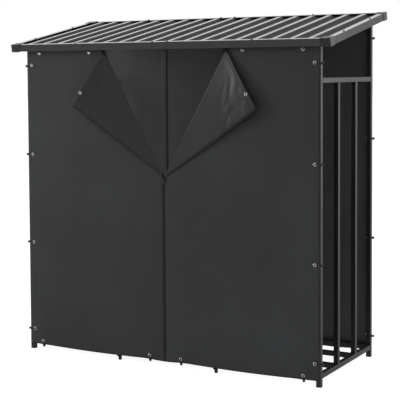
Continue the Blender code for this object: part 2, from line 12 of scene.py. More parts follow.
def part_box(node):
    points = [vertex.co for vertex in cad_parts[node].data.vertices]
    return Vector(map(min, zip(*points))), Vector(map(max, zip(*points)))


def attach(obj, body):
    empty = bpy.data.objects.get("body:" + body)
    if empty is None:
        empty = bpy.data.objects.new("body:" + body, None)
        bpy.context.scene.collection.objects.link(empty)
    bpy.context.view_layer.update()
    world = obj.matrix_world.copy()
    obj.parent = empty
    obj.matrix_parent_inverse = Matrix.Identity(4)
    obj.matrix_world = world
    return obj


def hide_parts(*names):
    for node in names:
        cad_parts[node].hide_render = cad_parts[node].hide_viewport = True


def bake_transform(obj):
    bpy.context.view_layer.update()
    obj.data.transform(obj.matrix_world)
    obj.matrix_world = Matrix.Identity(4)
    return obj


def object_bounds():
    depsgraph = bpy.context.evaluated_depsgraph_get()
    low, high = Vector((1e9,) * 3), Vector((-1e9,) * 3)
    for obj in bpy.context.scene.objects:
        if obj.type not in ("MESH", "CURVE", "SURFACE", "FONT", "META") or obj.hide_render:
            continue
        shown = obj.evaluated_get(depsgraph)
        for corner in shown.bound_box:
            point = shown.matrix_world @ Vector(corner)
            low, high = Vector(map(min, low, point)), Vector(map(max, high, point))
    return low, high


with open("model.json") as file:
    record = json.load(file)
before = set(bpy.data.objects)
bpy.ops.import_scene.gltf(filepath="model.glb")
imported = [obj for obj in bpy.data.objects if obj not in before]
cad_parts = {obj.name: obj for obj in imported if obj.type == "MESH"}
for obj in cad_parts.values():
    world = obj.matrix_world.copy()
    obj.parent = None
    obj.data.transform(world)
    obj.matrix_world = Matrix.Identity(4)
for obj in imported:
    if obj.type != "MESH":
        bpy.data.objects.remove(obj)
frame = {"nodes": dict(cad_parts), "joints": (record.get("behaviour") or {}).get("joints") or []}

# Looks of the firewood log rack: cloth covers, zip, eyelets, bungees, screws and finishes.
# X runs along the width, -Y is the front and Z is up; every length is in metres.

CAD_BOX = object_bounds()
SIDES = (("left", -1), ("right", 1))


def frame_joint(name):
    """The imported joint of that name."""
    return next(joint for joint in frame["joints"] if joint["name"] == name)


# Cloth
COVER_LOW, COVER_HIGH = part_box("front_cover_right")
REAR_LOW, REAR_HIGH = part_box("rear_cover")
CLOTH_GAUGE = 0.0009
THREAD_SPACING = 0.0011
HEM_WIDTH = 0.022
HEM_GAUGE = 0.0004
HEM_LIFT = -0.00066  # hems are turned to the inner face
SIDE_SCALLOP = 0.005  # how far the side edges draw in between their eyelets
SIDE_REACH = 0.16  # how far into the cloth that draw is felt
HEM_RISE = 0.006  # how far the eyelets pull the bottom hem up
HEM_REACH = 0.14
TOP_RISE = 0.014  # how far the cords draw the top hem up over the beam
TOP_REACH = 0.12
FOLD_DEPTH = 0.0042  # deepest of the long soft folds
TENSION_DEPTH = 0.0022  # deepest of the short folds that run out from the eyelets
TENSION_REACH = 0.07
PUCKER = 0.005  # how far the cloth stands off at a top or hem eyelet
PUCKER_REACH = 0.032
FRONT_ROWS = 118
FRONT_COLUMNS = 62
FLAP_ROWS = 84
FLAP_COLUMNS = 44
REAR_ROWS = 104
REAR_COLUMNS = 104

# Eyelets, counted from the middle and from the ground
EYELET_BORE = 0.005
EYELET_RADIUS = 0.0088
EYELET_OFFSET = 0.005  # inner face of the post to the side eyelets
EYELET_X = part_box("front_post_right")[0].x - EYELET_OFFSET
FRONT_EYELET_ROWS = (0.110, 0.589, 1.069, 1.548)
REAR_EYELET_ROWS = (0.110, 0.633, 1.157, 1.680)
FRONT_HEM_EYELETS = (0.092, 0.770)
REAR_HEM_EYELETS = (0.150, 0.450, 0.770)
HEM_EYELET_HEIGHT = 0.044
FRONT_TOP_EYELETS = (0.450, 0.770)
REAR_TOP_EYELETS = (0.150, 0.450, 0.770)
FRONT_TOP_HEIGHT = 1.603
REAR_TOP_HEIGHT = 1.748
FLAP_EYELET = (0.098, 1.612)

# Folded-out flaps
FOLD = frame_joint("right_flap_fold")
FOLD_TOP = Vector(FOLD["pos_m"])
FOLD_ALONG = Vector(FOLD["axis"])  # down the fold, towards the zip
FOLD_ACROSS = Vector((FOLD_ALONG.z, 0, -FOLD_ALONG.x))  # from the fold to the free corner
FLAP_TILT = math.pi - math.radians(FOLD["range_deg"][1])
FOLD_LAYER = 0.00115  # fold line to either layer's middle
ROLL_BULGE = 1.3  # how far the turned cloth bulges, in layers
BEND_SHARE = 0.70  # where a flap bends, from its fold line, 0, to its top edge, 1
BEND_RISE = 0.40  # its height there, as a share of the height at the free corner
BEND_BLUR = 0.16
ARCH_HEIGHT = 0.012  # how far a flap's free top edge bows out
CRUMPLE = {-1: 0.0006, 1: 0.0019}  # depth of the left and the right flap's creases
SETTLE = {-1: 0.016, 1: 0.008}  # how far their corners have drawn back towards the fold's top

# Zip
ZIP_EDGE = 0.0065  # the cloth's edge beside the chain
TAPE_EDGE = 0.0014
TAPE_OUTER = 0.017
TAPE_GAUGE = 0.0004
ZIP_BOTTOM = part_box("zip_chain")[0].z
ZIP_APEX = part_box("zip_chain")[1].z
PANEL_SPLIT = ZIP_APEX + 0.002  # from here up a panel's rows follow the fold line
CHAIN_SPLIT = ZIP_APEX + 0.004  # the closed chain ends here and its two halves part
FLAP_LOW = ZIP_APEX + 0.006  # a flap's lowest row
TOOTH_PITCH = 0.0028
TOOTH_LIFT = 0.0002
TOOTH_SIZE = (0.0015, 0.0021, 0.0021)
TOOTH_BEVEL = 0.0004
TOOTH_ACROSS = 0.0008  # middle of the zip to a tooth's middle
SLIDER_HEIGHT = 0.016
SLIDER_PLATES = (0.0019, -0.0003)  # how far the two plates stand off the cover's plane
BRIDGE_ROOT = 0.0020  # the cover's plane to the bridge's feet

# Stitching
STITCH_PITCH = 0.0062
STITCH_SIZE = (0.0042, 0.0021, 0.0007)
STITCH_INSET = 0.0025
HEM_SEAM = HEM_WIDTH - STITCH_INSET  # a cloth's edge to the stitching of its hem
ZIP_SEAM = 0.0125  # middle of the zip to the stitching of its tape
PROBE = 0.001  # a short step that finds a cloth's directions
ALONG_X = (PROBE, 0)
ALONG_Z = (0, PROBE)

# Bungees
CORD_RADIUS = 0.002
BALL_RADIUS = 0.007
BALL_GAP = 0.0003
BALL_SETBACK = 0.005  # face of the post to the ball's centre
LOOP_CORNER = 0.004
CORD_STAND = 0.0023  # the cord's centre off the tube it goes round
CLOTH_STAND = 0.0033  # the cord's centre off the cloth's middle, clear of an eyelet's collar

# Metalwork
BOLT_INSET = 0.0125
SCREW_INSET = 0.012  # a trim's outer edge to its screws
EAVE_SCREWS = (0.043, 0.515)  # along the front and rear trims, counted from the middle
VERGE_SCREWS = (-0.20, 0.16)  # along the side trims
RAY_HEIGHT = 3.0  # clear of the rack, where the rays that find the screws' places start
RAY_SIDE = 2.0
RIDGE_HEIGHT = 0.0124  # valley to crown of the roof sheets
RIDGE_PITCH = 0.0965
FIRST_RIDGE = 0.098

# Camera and light
CAMERA_PLACE = (2.9601, -5.3867, 1.5105)
CAMERA_TURN = 0.5146
CAMERA_DIP = -0.0565
CAMERA_ROLL = -0.0066
CAMERA_LENS = 103.56
CAMERA_SHIFT = (0.0421, -0.157)
ROOM_LIGHT = 0.50  # what the backdrop and the floor give as light
FLOOR_LIGHT = 0.25
ROOM_SEEN = 1.0  # and how bright the camera sees them
FLOOR_SEEN = 0.88


# ---- shader groups

def add_node(tree, kind, **settings):
    """A new shader node with its properties set."""
    node = tree.nodes.new(kind)
    for name, value in settings.items():
        setattr(node, name, value)
    return node


def fill(tree, socket, value):
    """Sets a socket to a value, or links another node's output to it."""
    if isinstance(value, bpy.types.NodeSocket):
        tree.links.new(value, socket)
    else:
        socket.default_value = value


def feed(tree, node, **inputs):
    """Fills a node's inputs by name, with a value or with another node's output."""
    for name, value in inputs.items():
        fill(tree, node.inputs[name.replace("_", " ")], value)
    return node


def calculate(tree, operation, *values):
    """A Math node; its inputs are numbers or other outputs."""
    node = add_node(tree, "ShaderNodeMath", operation=operation)
    for socket, value in zip(node.inputs, values):
        fill(tree, socket, value)
    return node.outputs[0]


def noise(tree, position, scale, detail=3.0, roughness=0.5):
    """A soft noise from 0 to 1."""
    node = add_node(tree, "ShaderNodeTexNoise")
    feed(tree, node, Vector=position, Scale=scale, Detail=detail, Roughness=roughness)
    return node.outputs["Fac"]


def remap(tree, value, low, high, to_low=0.0, to_high=1.0):
    """A value stretched from one range to another and held inside it."""
    node = add_node(tree, "ShaderNodeMapRange")
    for socket, number in zip(node.inputs, (value, low, high, to_low, to_high)):
        fill(tree, socket, number)
    return node.outputs["Result"]


def blend_colours(tree, share, first, second):
    """One colour turning into another with share."""
    node = add_node(tree, "ShaderNodeMix", data_type="RGBA")
    for index, value in ((0, share), (6, first), (7, second)):
        fill(tree, node.inputs[index], value)
    return node.outputs[2]


def new_group(name, inputs, outputs):
    """An empty shader group with its named inputs and outputs."""
    tree = bpy.data.node_groups.new(name, "ShaderNodeTree")
    for label, kind, value in inputs:
        socket = tree.interface.new_socket(label, in_out="INPUT", socket_type="NodeSocket" + kind)
        socket.default_value = value
    for label, kind in outputs:
        tree.interface.new_socket(label, in_out="OUTPUT", socket_type="NodeSocket" + kind)
    return tree, tree.nodes.new("NodeGroupInput").outputs, tree.nodes.new("NodeGroupOutput")


def object_position(tree):
    """The shaded point in the object's own coordinates."""
    return add_node(tree, "ShaderNodeTexCoord").outputs["Object"]


def build_plain_weave():
    """Warp and weft crossing over and under, with slubs: a height and a lightness mask."""
    inputs = [("Thread Spacing", "Float", 0.001), ("Slub", "Float", 0.4)]
    tree, given, result = new_group("plain weave", inputs, [("Height", "Float"), ("Mask", "Float")])
    position = object_position(tree)
    axes = feed(tree, add_node(tree, "ShaderNodeSeparateXYZ"), Vector=position)
    turns = calculate(tree, "DIVIDE", math.pi, given["Thread Spacing"])
    warp = calculate(tree, "SINE", calculate(tree, "MULTIPLY", axes.outputs["X"], turns))
    weft = calculate(tree, "SINE", calculate(tree, "MULTIPLY", axes.outputs["Z"], turns))
    crossing = calculate(tree, "MULTIPLY", warp, weft)
    height = calculate(tree, "MULTIPLY_ADD", crossing, 0.5, 0.5)
    slub = noise(tree, position, 260.0, 2.0)
    uneven = calculate(tree, "MULTIPLY", calculate(tree, "SUBTRACT", slub, 0.5), given["Slub"])
    feed(tree, result, Height=calculate(tree, "ADD", height, uneven),
         Mask=calculate(tree, "MULTIPLY_ADD", uneven, 0.8, height))
    return tree


def build_handling_creases():
    """Soft dents and fine crumples left in coated cloth by folding and packing."""
    inputs = [("Size", "Float", 7.0), ("Fine Share", "Float", 0.35)]
    tree, given, result = new_group("handling creases", inputs, [("Height", "Float")])
    position = object_position(tree)
    bend = feed(tree, add_node(tree, "ShaderNodeTexNoise"), Vector=position, Scale=3.0, Detail=2.0)
    moved = add_node(tree, "ShaderNodeMix", data_type="VECTOR")
    for index, value in ((0, 0.12), (4, position), (5, bend.outputs["Color"])):
        fill(tree, moved.inputs[index], value)
    broad = noise(tree, moved.outputs[1], given["Size"], 3.0, 0.45)
    ridge = calculate(tree, "ABSOLUTE", calculate(tree, "SUBTRACT", broad, 0.5))
    fine = noise(tree, position, 46.0, 4.0, 0.6)
    feed(tree, result, Height=calculate(tree, "MULTIPLY_ADD", fine, given["Fine Share"], ridge))
    return tree


def build_orange_peel():
    """The faint pebbled surface of sprayed and baked powder, with slow colour drift."""
    outputs = [("Height", "Float"), ("Drift", "Float")]
    tree, given, result = new_group("orange peel", [("Grain", "Float", 420.0)], outputs)
    position = object_position(tree)
    feed(tree, result, Height=noise(tree, position, given["Grain"], 1.5),
         Drift=noise(tree, position, 4.5, 4.0, 0.55))
    return tree


def build_settled_dust():
    """A mask of pale dust that lies thinly on whatever faces up."""
    tree, given, result = new_group("settled dust", [("Amount", "Float", 0.3)], [("Mask", "Float")])
    position = object_position(tree)
    facing = add_node(tree, "ShaderNodeNewGeometry").outputs["Normal"]
    up = feed(tree, add_node(tree, "ShaderNodeSeparateXYZ"), Vector=facing)
    flat = remap(tree, up.outputs["Z"], 0.2, 1.0)
    patches = remap(tree, noise(tree, position, 14.0, 5.0, 0.65), 0.35, 0.75)
    specks = remap(tree, noise(tree, position, 240.0, 2.0), 0.5, 0.72)
    both = calculate(tree, "MULTIPLY_ADD", specks, 0.4, patches)
    lying = calculate(tree, "MULTIPLY", flat, both)
    feed(tree, result, Mask=calculate(tree, "MULTIPLY", lying, given["Amount"]))
    return tree


def build_scuffs():
    """A mask of short hairline scratches."""
    inputs = [("Scale", "Float", 18.0), ("Amount", "Float", 0.5)]
    tree, given, result = new_group("scuffs", inputs, [("Mask", "Float")])
    stretch = add_node(tree, "ShaderNodeMapping")
    feed(tree, stretch, Vector=object_position(tree), Scale=(1.0, 1.6, 9.0), Rotation=(0.3, 0.5, 0.2))
    lines = noise(tree, stretch.outputs[0], given["Scale"], 6.0, 0.7)
    thin = remap(tree, lines, 0.61, 0.66)
    feed(tree, result, Mask=calculate(tree, "MULTIPLY", thin, given["Amount"]))
    return tree


def build_moulded_grain():
    """The spark-eroded texture of a moulded plastic part."""
    tree, given, result = new_group("moulded grain", [("Size", "Float", 900.0)], [("Height", "Float")])
    cells = add_node(tree, "ShaderNodeTexVoronoi")
    feed(tree, cells, Vector=object_position(tree), Scale=given["Size"])
    feed(tree, result, Height=cells.outputs["Distance"])
    return tree


GROUPS = {
    "plain weave": build_plain_weave(),
    "handling creases": build_handling_creases(),
    "orange peel": build_orange_peel(),
    "settled dust": build_settled_dust(),
    "scuffs": build_scuffs(),
    "moulded grain": build_moulded_grain(),
}


# ---- materials

def grey(red, green, blue):
    """A nearly neutral colour, opaque."""
    return red, green, blue, 1


SCRATCHED_COAT = grey(0.11, 0.113, 0.118)


def start_material(name, roughness, metallic=0.0):
    """A material with its Principled shader, which the caller finishes."""
    material = bpy.data.materials.new(name)
    material.use_nodes = True
    shader = material.node_tree.nodes["Principled BSDF"]
    shader.inputs["Roughness"].default_value = roughness
    shader.inputs["Metallic"].default_value = metallic
    return material, material.node_tree, shader


def use_group(tree, name, **inputs):
    """What a shared group gives in a material, with its inputs filled."""
    node = add_node(tree, "ShaderNodeGroup", node_tree=GROUPS[name])
    return feed(tree, node, **inputs).outputs


def bump(tree, height, distance, strength=1.0, under=None):
    """A Bump node over a height, and over another bump if one is given."""
    node = add_node(tree, "ShaderNodeBump")
    feed(tree, node, Height=height, Distance=distance, Strength=strength)
    if under is not None:
        tree.links.new(under, node.inputs["Normal"])
    return node.outputs["Normal"]


def lighter(colour, times):
    """A colour made that many times as bright."""
    return tuple(channel * times for channel in colour[:3]) + (1,)


def coated_metal(name, dark, light, roughness, dust):
    """Anthracite powder coat: orange peel, slow colour drift, hairline scuffs and dust on top."""
    material, tree, shader = start_material(name, roughness)
    peel = use_group(tree, "orange peel", Grain=420.0)
    scuffs = use_group(tree, "scuffs", Scale=16.0, Amount=0.35)
    settled = use_group(tree, "settled dust", Amount=dust)
    colour = blend_colours(tree, peel["Drift"], dark, light)
    colour = blend_colours(tree, scuffs["Mask"], colour, SCRATCHED_COAT)
    colour = blend_colours(tree, settled["Mask"], colour, grey(0.34, 0.33, 0.31))
    rough = calculate(tree, "MULTIPLY_ADD", settled["Mask"], 0.3, roughness)
    rough = calculate(tree, "MULTIPLY_ADD", peel["Drift"], 0.08, rough)
    feed(tree, shader, Base_Color=colour, Roughness=rough,
         Normal=bump(tree, peel["Height"], 0.00005, 0.6))
    return material


def ribbed_sheet_coat():
    """The roof sheets' coat: clean and glossy on the ridges, dull with fine dust in the valleys."""
    material, tree, shader = start_material("ribbed sheet coat", 0.2)
    low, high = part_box("roof_sheet_left")
    slope = (high.z - RIDGE_HEIGHT - low.z) / (high.y - low.y)
    valley = low.z - slope * low.y
    axes = feed(tree, add_node(tree, "ShaderNodeSeparateXYZ"), Vector=object_position(tree))
    above = calculate(tree, "MULTIPLY_ADD", axes.outputs["Y"], -slope, axes.outputs["Z"])
    ridge = remap(tree, above, valley + 0.3 * RIDGE_HEIGHT, valley + RIDGE_HEIGHT)
    peel = use_group(tree, "orange peel", Grain=420.0)
    settled = use_group(tree, "settled dust", Amount=0.05)
    scuffs = use_group(tree, "scuffs", Scale=16.0, Amount=0.35)
    dark, light = grey(0.052, 0.054, 0.057), grey(0.082, 0.084, 0.087)
    dusty = blend_colours(tree, peel["Drift"], dark, light)
    colour = blend_colours(tree, ridge, dusty, grey(0.034, 0.036, 0.040))
    colour = blend_colours(tree, scuffs["Mask"], colour, SCRATCHED_COAT)
    rough = remap(tree, ridge, 0.0, 1.0, 0.66, 0.20)
    rough = calculate(tree, "ADD", rough, settled["Mask"])
    feed(tree, shader, Base_Color=colour, Roughness=rough,
         Normal=bump(tree, peel["Height"], 0.00005, 0.6))
    return material


def cover_cloth(name, dark, light, roughness, weave_depth, crease_depth):
    """Coated polyester: a weave under the coating, handling creases and a little dust."""
    material, tree, shader = start_material(name, roughness)
    weave = use_group(tree, "plain weave", Thread_Spacing=THREAD_SPACING, Slub=0.5)
    creases = use_group(tree, "handling creases", Size=6.5, Fine_Share=0.3)
    settled = use_group(tree, "settled dust", Amount=0.25)
    drift = noise(tree, object_position(tree), 2.2, 3.0)
    colour = blend_colours(tree, weave["Mask"], dark, light)
    colour = blend_colours(tree, remap(tree, drift, 0.4, 0.7), colour, lighter(light, 1.16))
    colour = blend_colours(tree, settled["Mask"], colour, grey(0.30, 0.29, 0.27))
    rough = calculate(tree, "MULTIPLY_ADD", drift, 0.14, roughness - 0.07)
    soft = bump(tree, creases["Height"], crease_depth)
    feed(tree, shader, Base_Color=colour, Roughness=rough,
         Normal=bump(tree, weave["Height"], weave_depth, 0.7, soft))
    return material


def woven_band(name, colour, spacing):
    """Narrow woven tape or braid, matt and slightly fuzzy."""
    material, tree, shader = start_material(name, 0.8)
    weave = use_group(tree, "plain weave", Thread_Spacing=spacing, Slub=0.6)
    colour = blend_colours(tree, weave["Mask"], colour, lighter(colour, 1.7))
    feed(tree, shader, Base_Color=colour, Normal=bump(tree, weave["Height"], 0.0002))
    shader.inputs["Sheen Weight"].default_value = 0.25
    return material


def moulded_plastic(name, colour, roughness):
    """Black moulded plastic with a fine grain, rubbed a little lighter by handling."""
    material, tree, shader = start_material(name, roughness)
    grain = use_group(tree, "moulded grain", Size=900.0)
    scuffs = use_group(tree, "scuffs", Scale=22.0, Amount=0.3)
    settled = use_group(tree, "settled dust", Amount=0.35)
    colour = blend_colours(tree, scuffs["Mask"], colour, lighter(colour, 2.2))
    colour = blend_colours(tree, settled["Mask"], colour, grey(0.2, 0.19, 0.18))
    rough = calculate(tree, "MULTIPLY_ADD", grain["Height"], 0.12, roughness)
    feed(tree, shader, Base_Color=colour, Roughness=rough,
         Normal=bump(tree, grain["Height"], 0.00008, 0.5))
    return material


def bare_metal(name, colour, roughness):
    """Plated or enamelled metal with smudges and hairline scratches."""
    material, tree, shader = start_material(name, roughness, 1.0)
    scuffs = use_group(tree, "scuffs", Scale=60.0, Amount=0.6)
    smudge = noise(tree, object_position(tree), 90.0, 3.0)
    colour = blend_colours(tree, scuffs["Mask"], colour, lighter(colour, 0.55))
    rough = calculate(tree, "MULTIPLY_ADD", smudge, 0.22, roughness - 0.08)
    feed(tree, shader, Base_Color=colour, Roughness=rough,
         Normal=bump(tree, scuffs["Mask"], 0.00003))
    return material


TUBE_COAT = coated_metal("tube coat", grey(0.010, 0.011, 0.012), grey(0.014, 0.015, 0.017),
                         roughness=0.34, dust=0.05)
SHEET_COAT = coated_metal("sheet coat", grey(0.030, 0.032, 0.035), grey(0.040, 0.042, 0.046),
                          roughness=0.16, dust=0.03)
RIBBED_COAT = ribbed_sheet_coat()
COVER_FACE = cover_cloth("cover face", grey(0.018, 0.019, 0.021), grey(0.030, 0.032, 0.034),
                         roughness=0.68, weave_depth=0.00025, crease_depth=0.0022)
COVER_BACK = cover_cloth("cover back", grey(0.009, 0.009, 0.009), grey(0.014, 0.014, 0.014),
                         roughness=0.38, weave_depth=0.00008, crease_depth=0.0030)
# The rear cover's inner face: the same coated back as COVER_BACK, painted about six times lighter as
# painted light for the dim covered inside of the rack.
REAR_BACK_PAINTED_LIGHT = cover_cloth("rear back painted light", grey(0.070, 0.070, 0.070), grey(0.084, 0.084, 0.084),
                          roughness=0.60, weave_depth=0.00008, crease_depth=0.0030)
HEM_CLOTH = cover_cloth("hem cloth", grey(0.012, 0.012, 0.013), grey(0.020, 0.020, 0.021),
                        roughness=0.50, weave_depth=0.00025, crease_depth=0.0015)
THREAD = woven_band("thread", grey(0.022, 0.022, 0.024), spacing=0.0006)
ZIP_TAPE = woven_band("zip tape", grey(0.006, 0.006, 0.007), spacing=0.0008)
CORD_BRAID = woven_band("cord braid", grey(0.009, 0.009, 0.010), spacing=0.0009)
ZIP_TEETH = moulded_plastic("zip teeth", grey(0.009, 0.009, 0.010), roughness=0.38)
CAP_PLASTIC = moulded_plastic("cap plastic", grey(0.010, 0.010, 0.011), roughness=0.34)
BALL_PLASTIC = moulded_plastic("ball plastic", grey(0.010, 0.010, 0.011), roughness=0.32)
EYELET_PLATE = bare_metal("eyelet plate", grey(0.72, 0.73, 0.74), roughness=0.24)
SLIDER_ENAMEL = bare_metal("slider enamel", grey(0.07, 0.07, 0.075), roughness=0.34)
SCREW_ZINC = bare_metal("screw zinc", grey(0.16, 0.16, 0.17), roughness=0.38)


# ---- mesh helpers

def new_item(name, data, place=None):
    """An object in the scene that holds data; its place is a matrix."""
    item = bpy.data.objects.new(name, data)
    if place is not None:
        item.matrix_world = place
    bpy.context.scene.collection.objects.link(item)
    return item


def add_object(name, vertices, faces, *materials):
    """A smooth-shaded mesh object made from points and faces."""
    mesh = bpy.data.meshes.new(name)
    mesh.from_pydata([tuple(point) for point in vertices], [], faces)
    mesh.update()
    mesh.shade_smooth()
    for material in materials:
        mesh.materials.append(material)
    return new_item(name, mesh)


def ease(distance, reach):
    """From 0 at an edge to 1 at reach from it, smooth at both ends."""
    share = np.clip(distance / reach, 0, 1)
    return share * share * (3 - 2 * share)


def grid_faces(rows, columns):
    """Quads of a grid whose points are listed row by row."""
    corners = np.arange(rows * columns).reshape(rows, columns)
    quads = (corners[:-1, :-1], corners[:-1, 1:], corners[1:, 1:], corners[1:, :-1])
    return np.stack(quads, axis=-1).reshape(-1, 4).tolist()


def ring_faces(rows, columns, closed=True):
    """Quads of a grid whose columns close on themselves, and its rows too if closed."""
    corners = np.arange(rows * columns).reshape(rows, columns)
    above = np.roll(corners, -1, axis=0) if closed else corners[1:]
    below = corners if closed else corners[:-1]
    quads = (below, np.roll(below, -1, axis=1), np.roll(above, -1, axis=1), above)
    return np.stack(quads, axis=-1).reshape(-1, 4).tolist()


def turned(profile, steps, closed=False):
    """Points and faces of a profile of (radius, height) turned round the Y axis."""
    angles = np.linspace(0, 2 * math.pi, steps, endpoint=False)
    radius, height = np.array(profile).T
    x = radius[:, None] * np.cos(angles)
    z = radius[:, None] * np.sin(angles)
    y = np.repeat(height[:, None], steps, axis=1)
    return np.stack((x, y, z), axis=-1).reshape(-1, 3), ring_faces(len(profile), steps, closed)


def rounded_block(size, bevel):
    """Points and faces of a block with its edges rounded off."""
    mesh = bmesh.new()
    bmesh.ops.create_cube(mesh, size=1)
    bmesh.ops.scale(mesh, vec=size, verts=mesh.verts)
    bmesh.ops.bevel(mesh, geom=list(mesh.edges), offset=bevel, segments=1, affect="EDGES")
    return take_mesh(mesh)


def take_mesh(mesh):
    """The points and faces of a bmesh, which is then freed."""
    mesh.verts.index_update()
    points = np.array([vertex.co for vertex in mesh.verts])
    faces = [[vertex.index for vertex in face.verts] for face in mesh.faces]
    mesh.free()
    return points, faces


def stamp(name, shape, frames, *materials):
    """One object that holds a copy of a small shape in each of the given frames."""
    points, faces = shape
    turned_points = np.einsum("nij,kj->nki", frames[:, :3, :3], points) + frames[:, None, :3, 3]
    shifts = np.arange(len(frames)) * len(points)
    all_faces = [[corner + shift for corner in face] for shift in shifts.tolist() for face in faces]
    return add_object(name, turned_points.reshape(-1, 3), all_faces, *materials)


def frames_on(surface, x, z, step, lift=0.0):
    """Frames on a cloth: X runs along step, Y stands off the outer face, Z is across."""
    x, z = np.broadcast_arrays(np.asarray(x, float), np.asarray(z, float))
    here = surface(x, z, lift)
    along = surface(x + step[0], z + step[1], lift) - here
    beside = surface(x - step[1], z + step[0], lift) - here
    off = np.cross(along, beside)
    outward = surface(x, z, lift + PROBE) - here
    off *= np.sign((off * outward).sum(-1, keepdims=True))
    along /= np.linalg.norm(along, axis=-1, keepdims=True)
    off /= np.linalg.norm(off, axis=-1, keepdims=True)
    frames = np.zeros((len(x), 4, 4))
    frames[:, :3, 0] = along
    frames[:, :3, 1] = off
    frames[:, :3, 2] = np.cross(along, off)
    frames[:, :3, 3] = here
    frames[:, 3, 3] = 1
    return frames


def apply_modifiers(item):
    """Keeps an object's evaluated shape as its own mesh."""
    shown = item.evaluated_get(bpy.context.evaluated_depsgraph_get())
    mesh = bpy.data.meshes.new_from_object(shown)
    item.modifiers.clear()
    item.data = mesh


# ---- hanging cloth

@dataclass
class Cover:
    """One flat cloth cover and the way it hangs. Facing is -1 at the front and 1 at the back."""
    plane: float
    facing: int
    bottom: float
    top: float
    side_rows: tuple
    hem_eyelets: tuple
    top_eyelets: tuple
    top_height: float

    def loose_eyelets(self):
        """The hem and top eyelets, where the cord lifts the cloth off its tube."""
        hem = [(side * x, HEM_EYELET_HEIGHT) for x in self.hem_eyelets for side in (-1, 1)]
        top = [(side * x, self.top_height) for x in self.top_eyelets for side in (-1, 1)]
        return hem + top

    def all_eyelets(self):
        """Every eyelet of the cover."""
        sides = [(side * EYELET_X, z) for z in self.side_rows for side in (-1, 1)]
        return sides + self.loose_eyelets()


FRONT = Cover((COVER_LOW.y + COVER_HIGH.y) / 2, -1, COVER_LOW.z, COVER_HIGH.z,
              FRONT_EYELET_ROWS, FRONT_HEM_EYELETS, FRONT_TOP_EYELETS, FRONT_TOP_HEIGHT)
REAR = Cover((REAR_LOW.y + REAR_HIGH.y) / 2, 1, REAR_LOW.z, REAR_HIGH.z,
             REAR_EYELET_ROWS, REAR_HEM_EYELETS, REAR_TOP_EYELETS, REAR_TOP_HEIGHT)


def fold_line(z):
    """Distance of the fold line from the middle at height z."""
    return FOLD_TOP.x + FOLD_ALONG.x / FOLD_ALONG.z * (z - FOLD_TOP.z)


def inner_edge(z):
    """Distance of a front panel's inner edge from the middle at height z."""
    return np.maximum(ZIP_EDGE, fold_line(z))


def between(value, stops):
    """0 at each stop and 1 halfway between two of them."""
    phase = np.interp(value, stops, np.arange(len(stops)))
    return np.abs(np.sin(math.pi * phase))


def uneven(x, z, wavelength, seed, waves=16):
    """A smooth random field from about -1 to 1, the same each time for a seed."""
    chance = np.random.default_rng(seed)
    total = 0
    for _ in range(waves):
        turn, start = chance.uniform(0, 2 * math.pi, 2)
        pitch = wavelength * chance.uniform(0.6, 2.2)
        across = x * math.cos(turn) + z * math.sin(turn)
        total = total + np.sin(2 * math.pi * across / pitch + start)
    return total / math.sqrt(waves)


def soft_folds(x, z):
    """The long shallow folds of a cloth held only at its edges, from 0 to 1."""
    long_folds = uneven(x, 0.45 * z, 0.42, 3)
    short_folds = uneven(0.8 * x, z, 0.16, 8)
    return np.clip(0.5 + 0.26 * long_folds + 0.08 * short_folds, 0, 1)


def tension(x, z, eyelets):
    """Short folds that run out from each eyelet, from 0 to 1."""
    total = np.zeros(np.broadcast(x, z).shape)
    for eyelet_x, eyelet_z in eyelets:
        distance = np.hypot(x - eyelet_x, z - eyelet_z)
        angle = np.arctan2(z - eyelet_z, x - eyelet_x)
        rays = 0.5 + 0.5 * np.cos(6 * angle + 9 * eyelet_z)
        total += rays * ease(distance, 0.03) * np.exp(-distance / TENSION_REACH)
    return np.clip(total, 0, 1)


def hang(cover, x, z, lift=0.0):
    """Where a point of a flat cover hangs; lift is counted off its outer face."""
    to_side = COVER_HIGH.x - np.abs(x)
    to_bottom = z - cover.bottom
    drawn_in = SIDE_SCALLOP * between(z, cover.side_rows) * (1 - ease(to_side, SIDE_REACH))
    stops = [-stop for stop in reversed(cover.hem_eyelets)] + list(cover.hem_eyelets)
    raised = HEM_RISE * (1 - between(x, stops)) * (1 - ease(to_bottom, HEM_REACH))
    calm = ease(to_side, 0.09) * (0.45 + 0.55 * ease(to_bottom, 0.12)) * ease(cover.top - z, 0.10)
    if cover.facing < 0:
        drawn_up = TOP_RISE * (1 - ease(cover.top - z, TOP_REACH))
        raised = raised + drawn_up * ease(np.abs(x) - FOLD_TOP.x, 0.05)
        calm = calm * ease(np.abs(x) - inner_edge(z) + 0.004, 0.10)
    off = calm * FOLD_DEPTH * soft_folds(x, z)
    off = off + calm * TENSION_DEPTH * tension(x, z, cover.all_eyelets())
    for eyelet_x, eyelet_z in cover.loose_eyelets():
        distance = np.hypot(x - eyelet_x, z - eyelet_z)
        off = off + PUCKER * np.exp(-(distance / PUCKER_REACH) ** 2)
    y = cover.plane + cover.facing * (off + lift)
    return np.stack((x - np.sign(x) * drawn_in, y, z + raised), -1)


def front_surface(x, z, lift=0.0):
    """The front cover as it hangs."""
    return hang(FRONT, *np.broadcast_arrays(np.asarray(x, float), z, lift))


def rear_surface(x, z, lift=0.0):
    """The rear cover as it hangs."""
    return hang(REAR, *np.broadcast_arrays(np.asarray(x, float), z, lift))


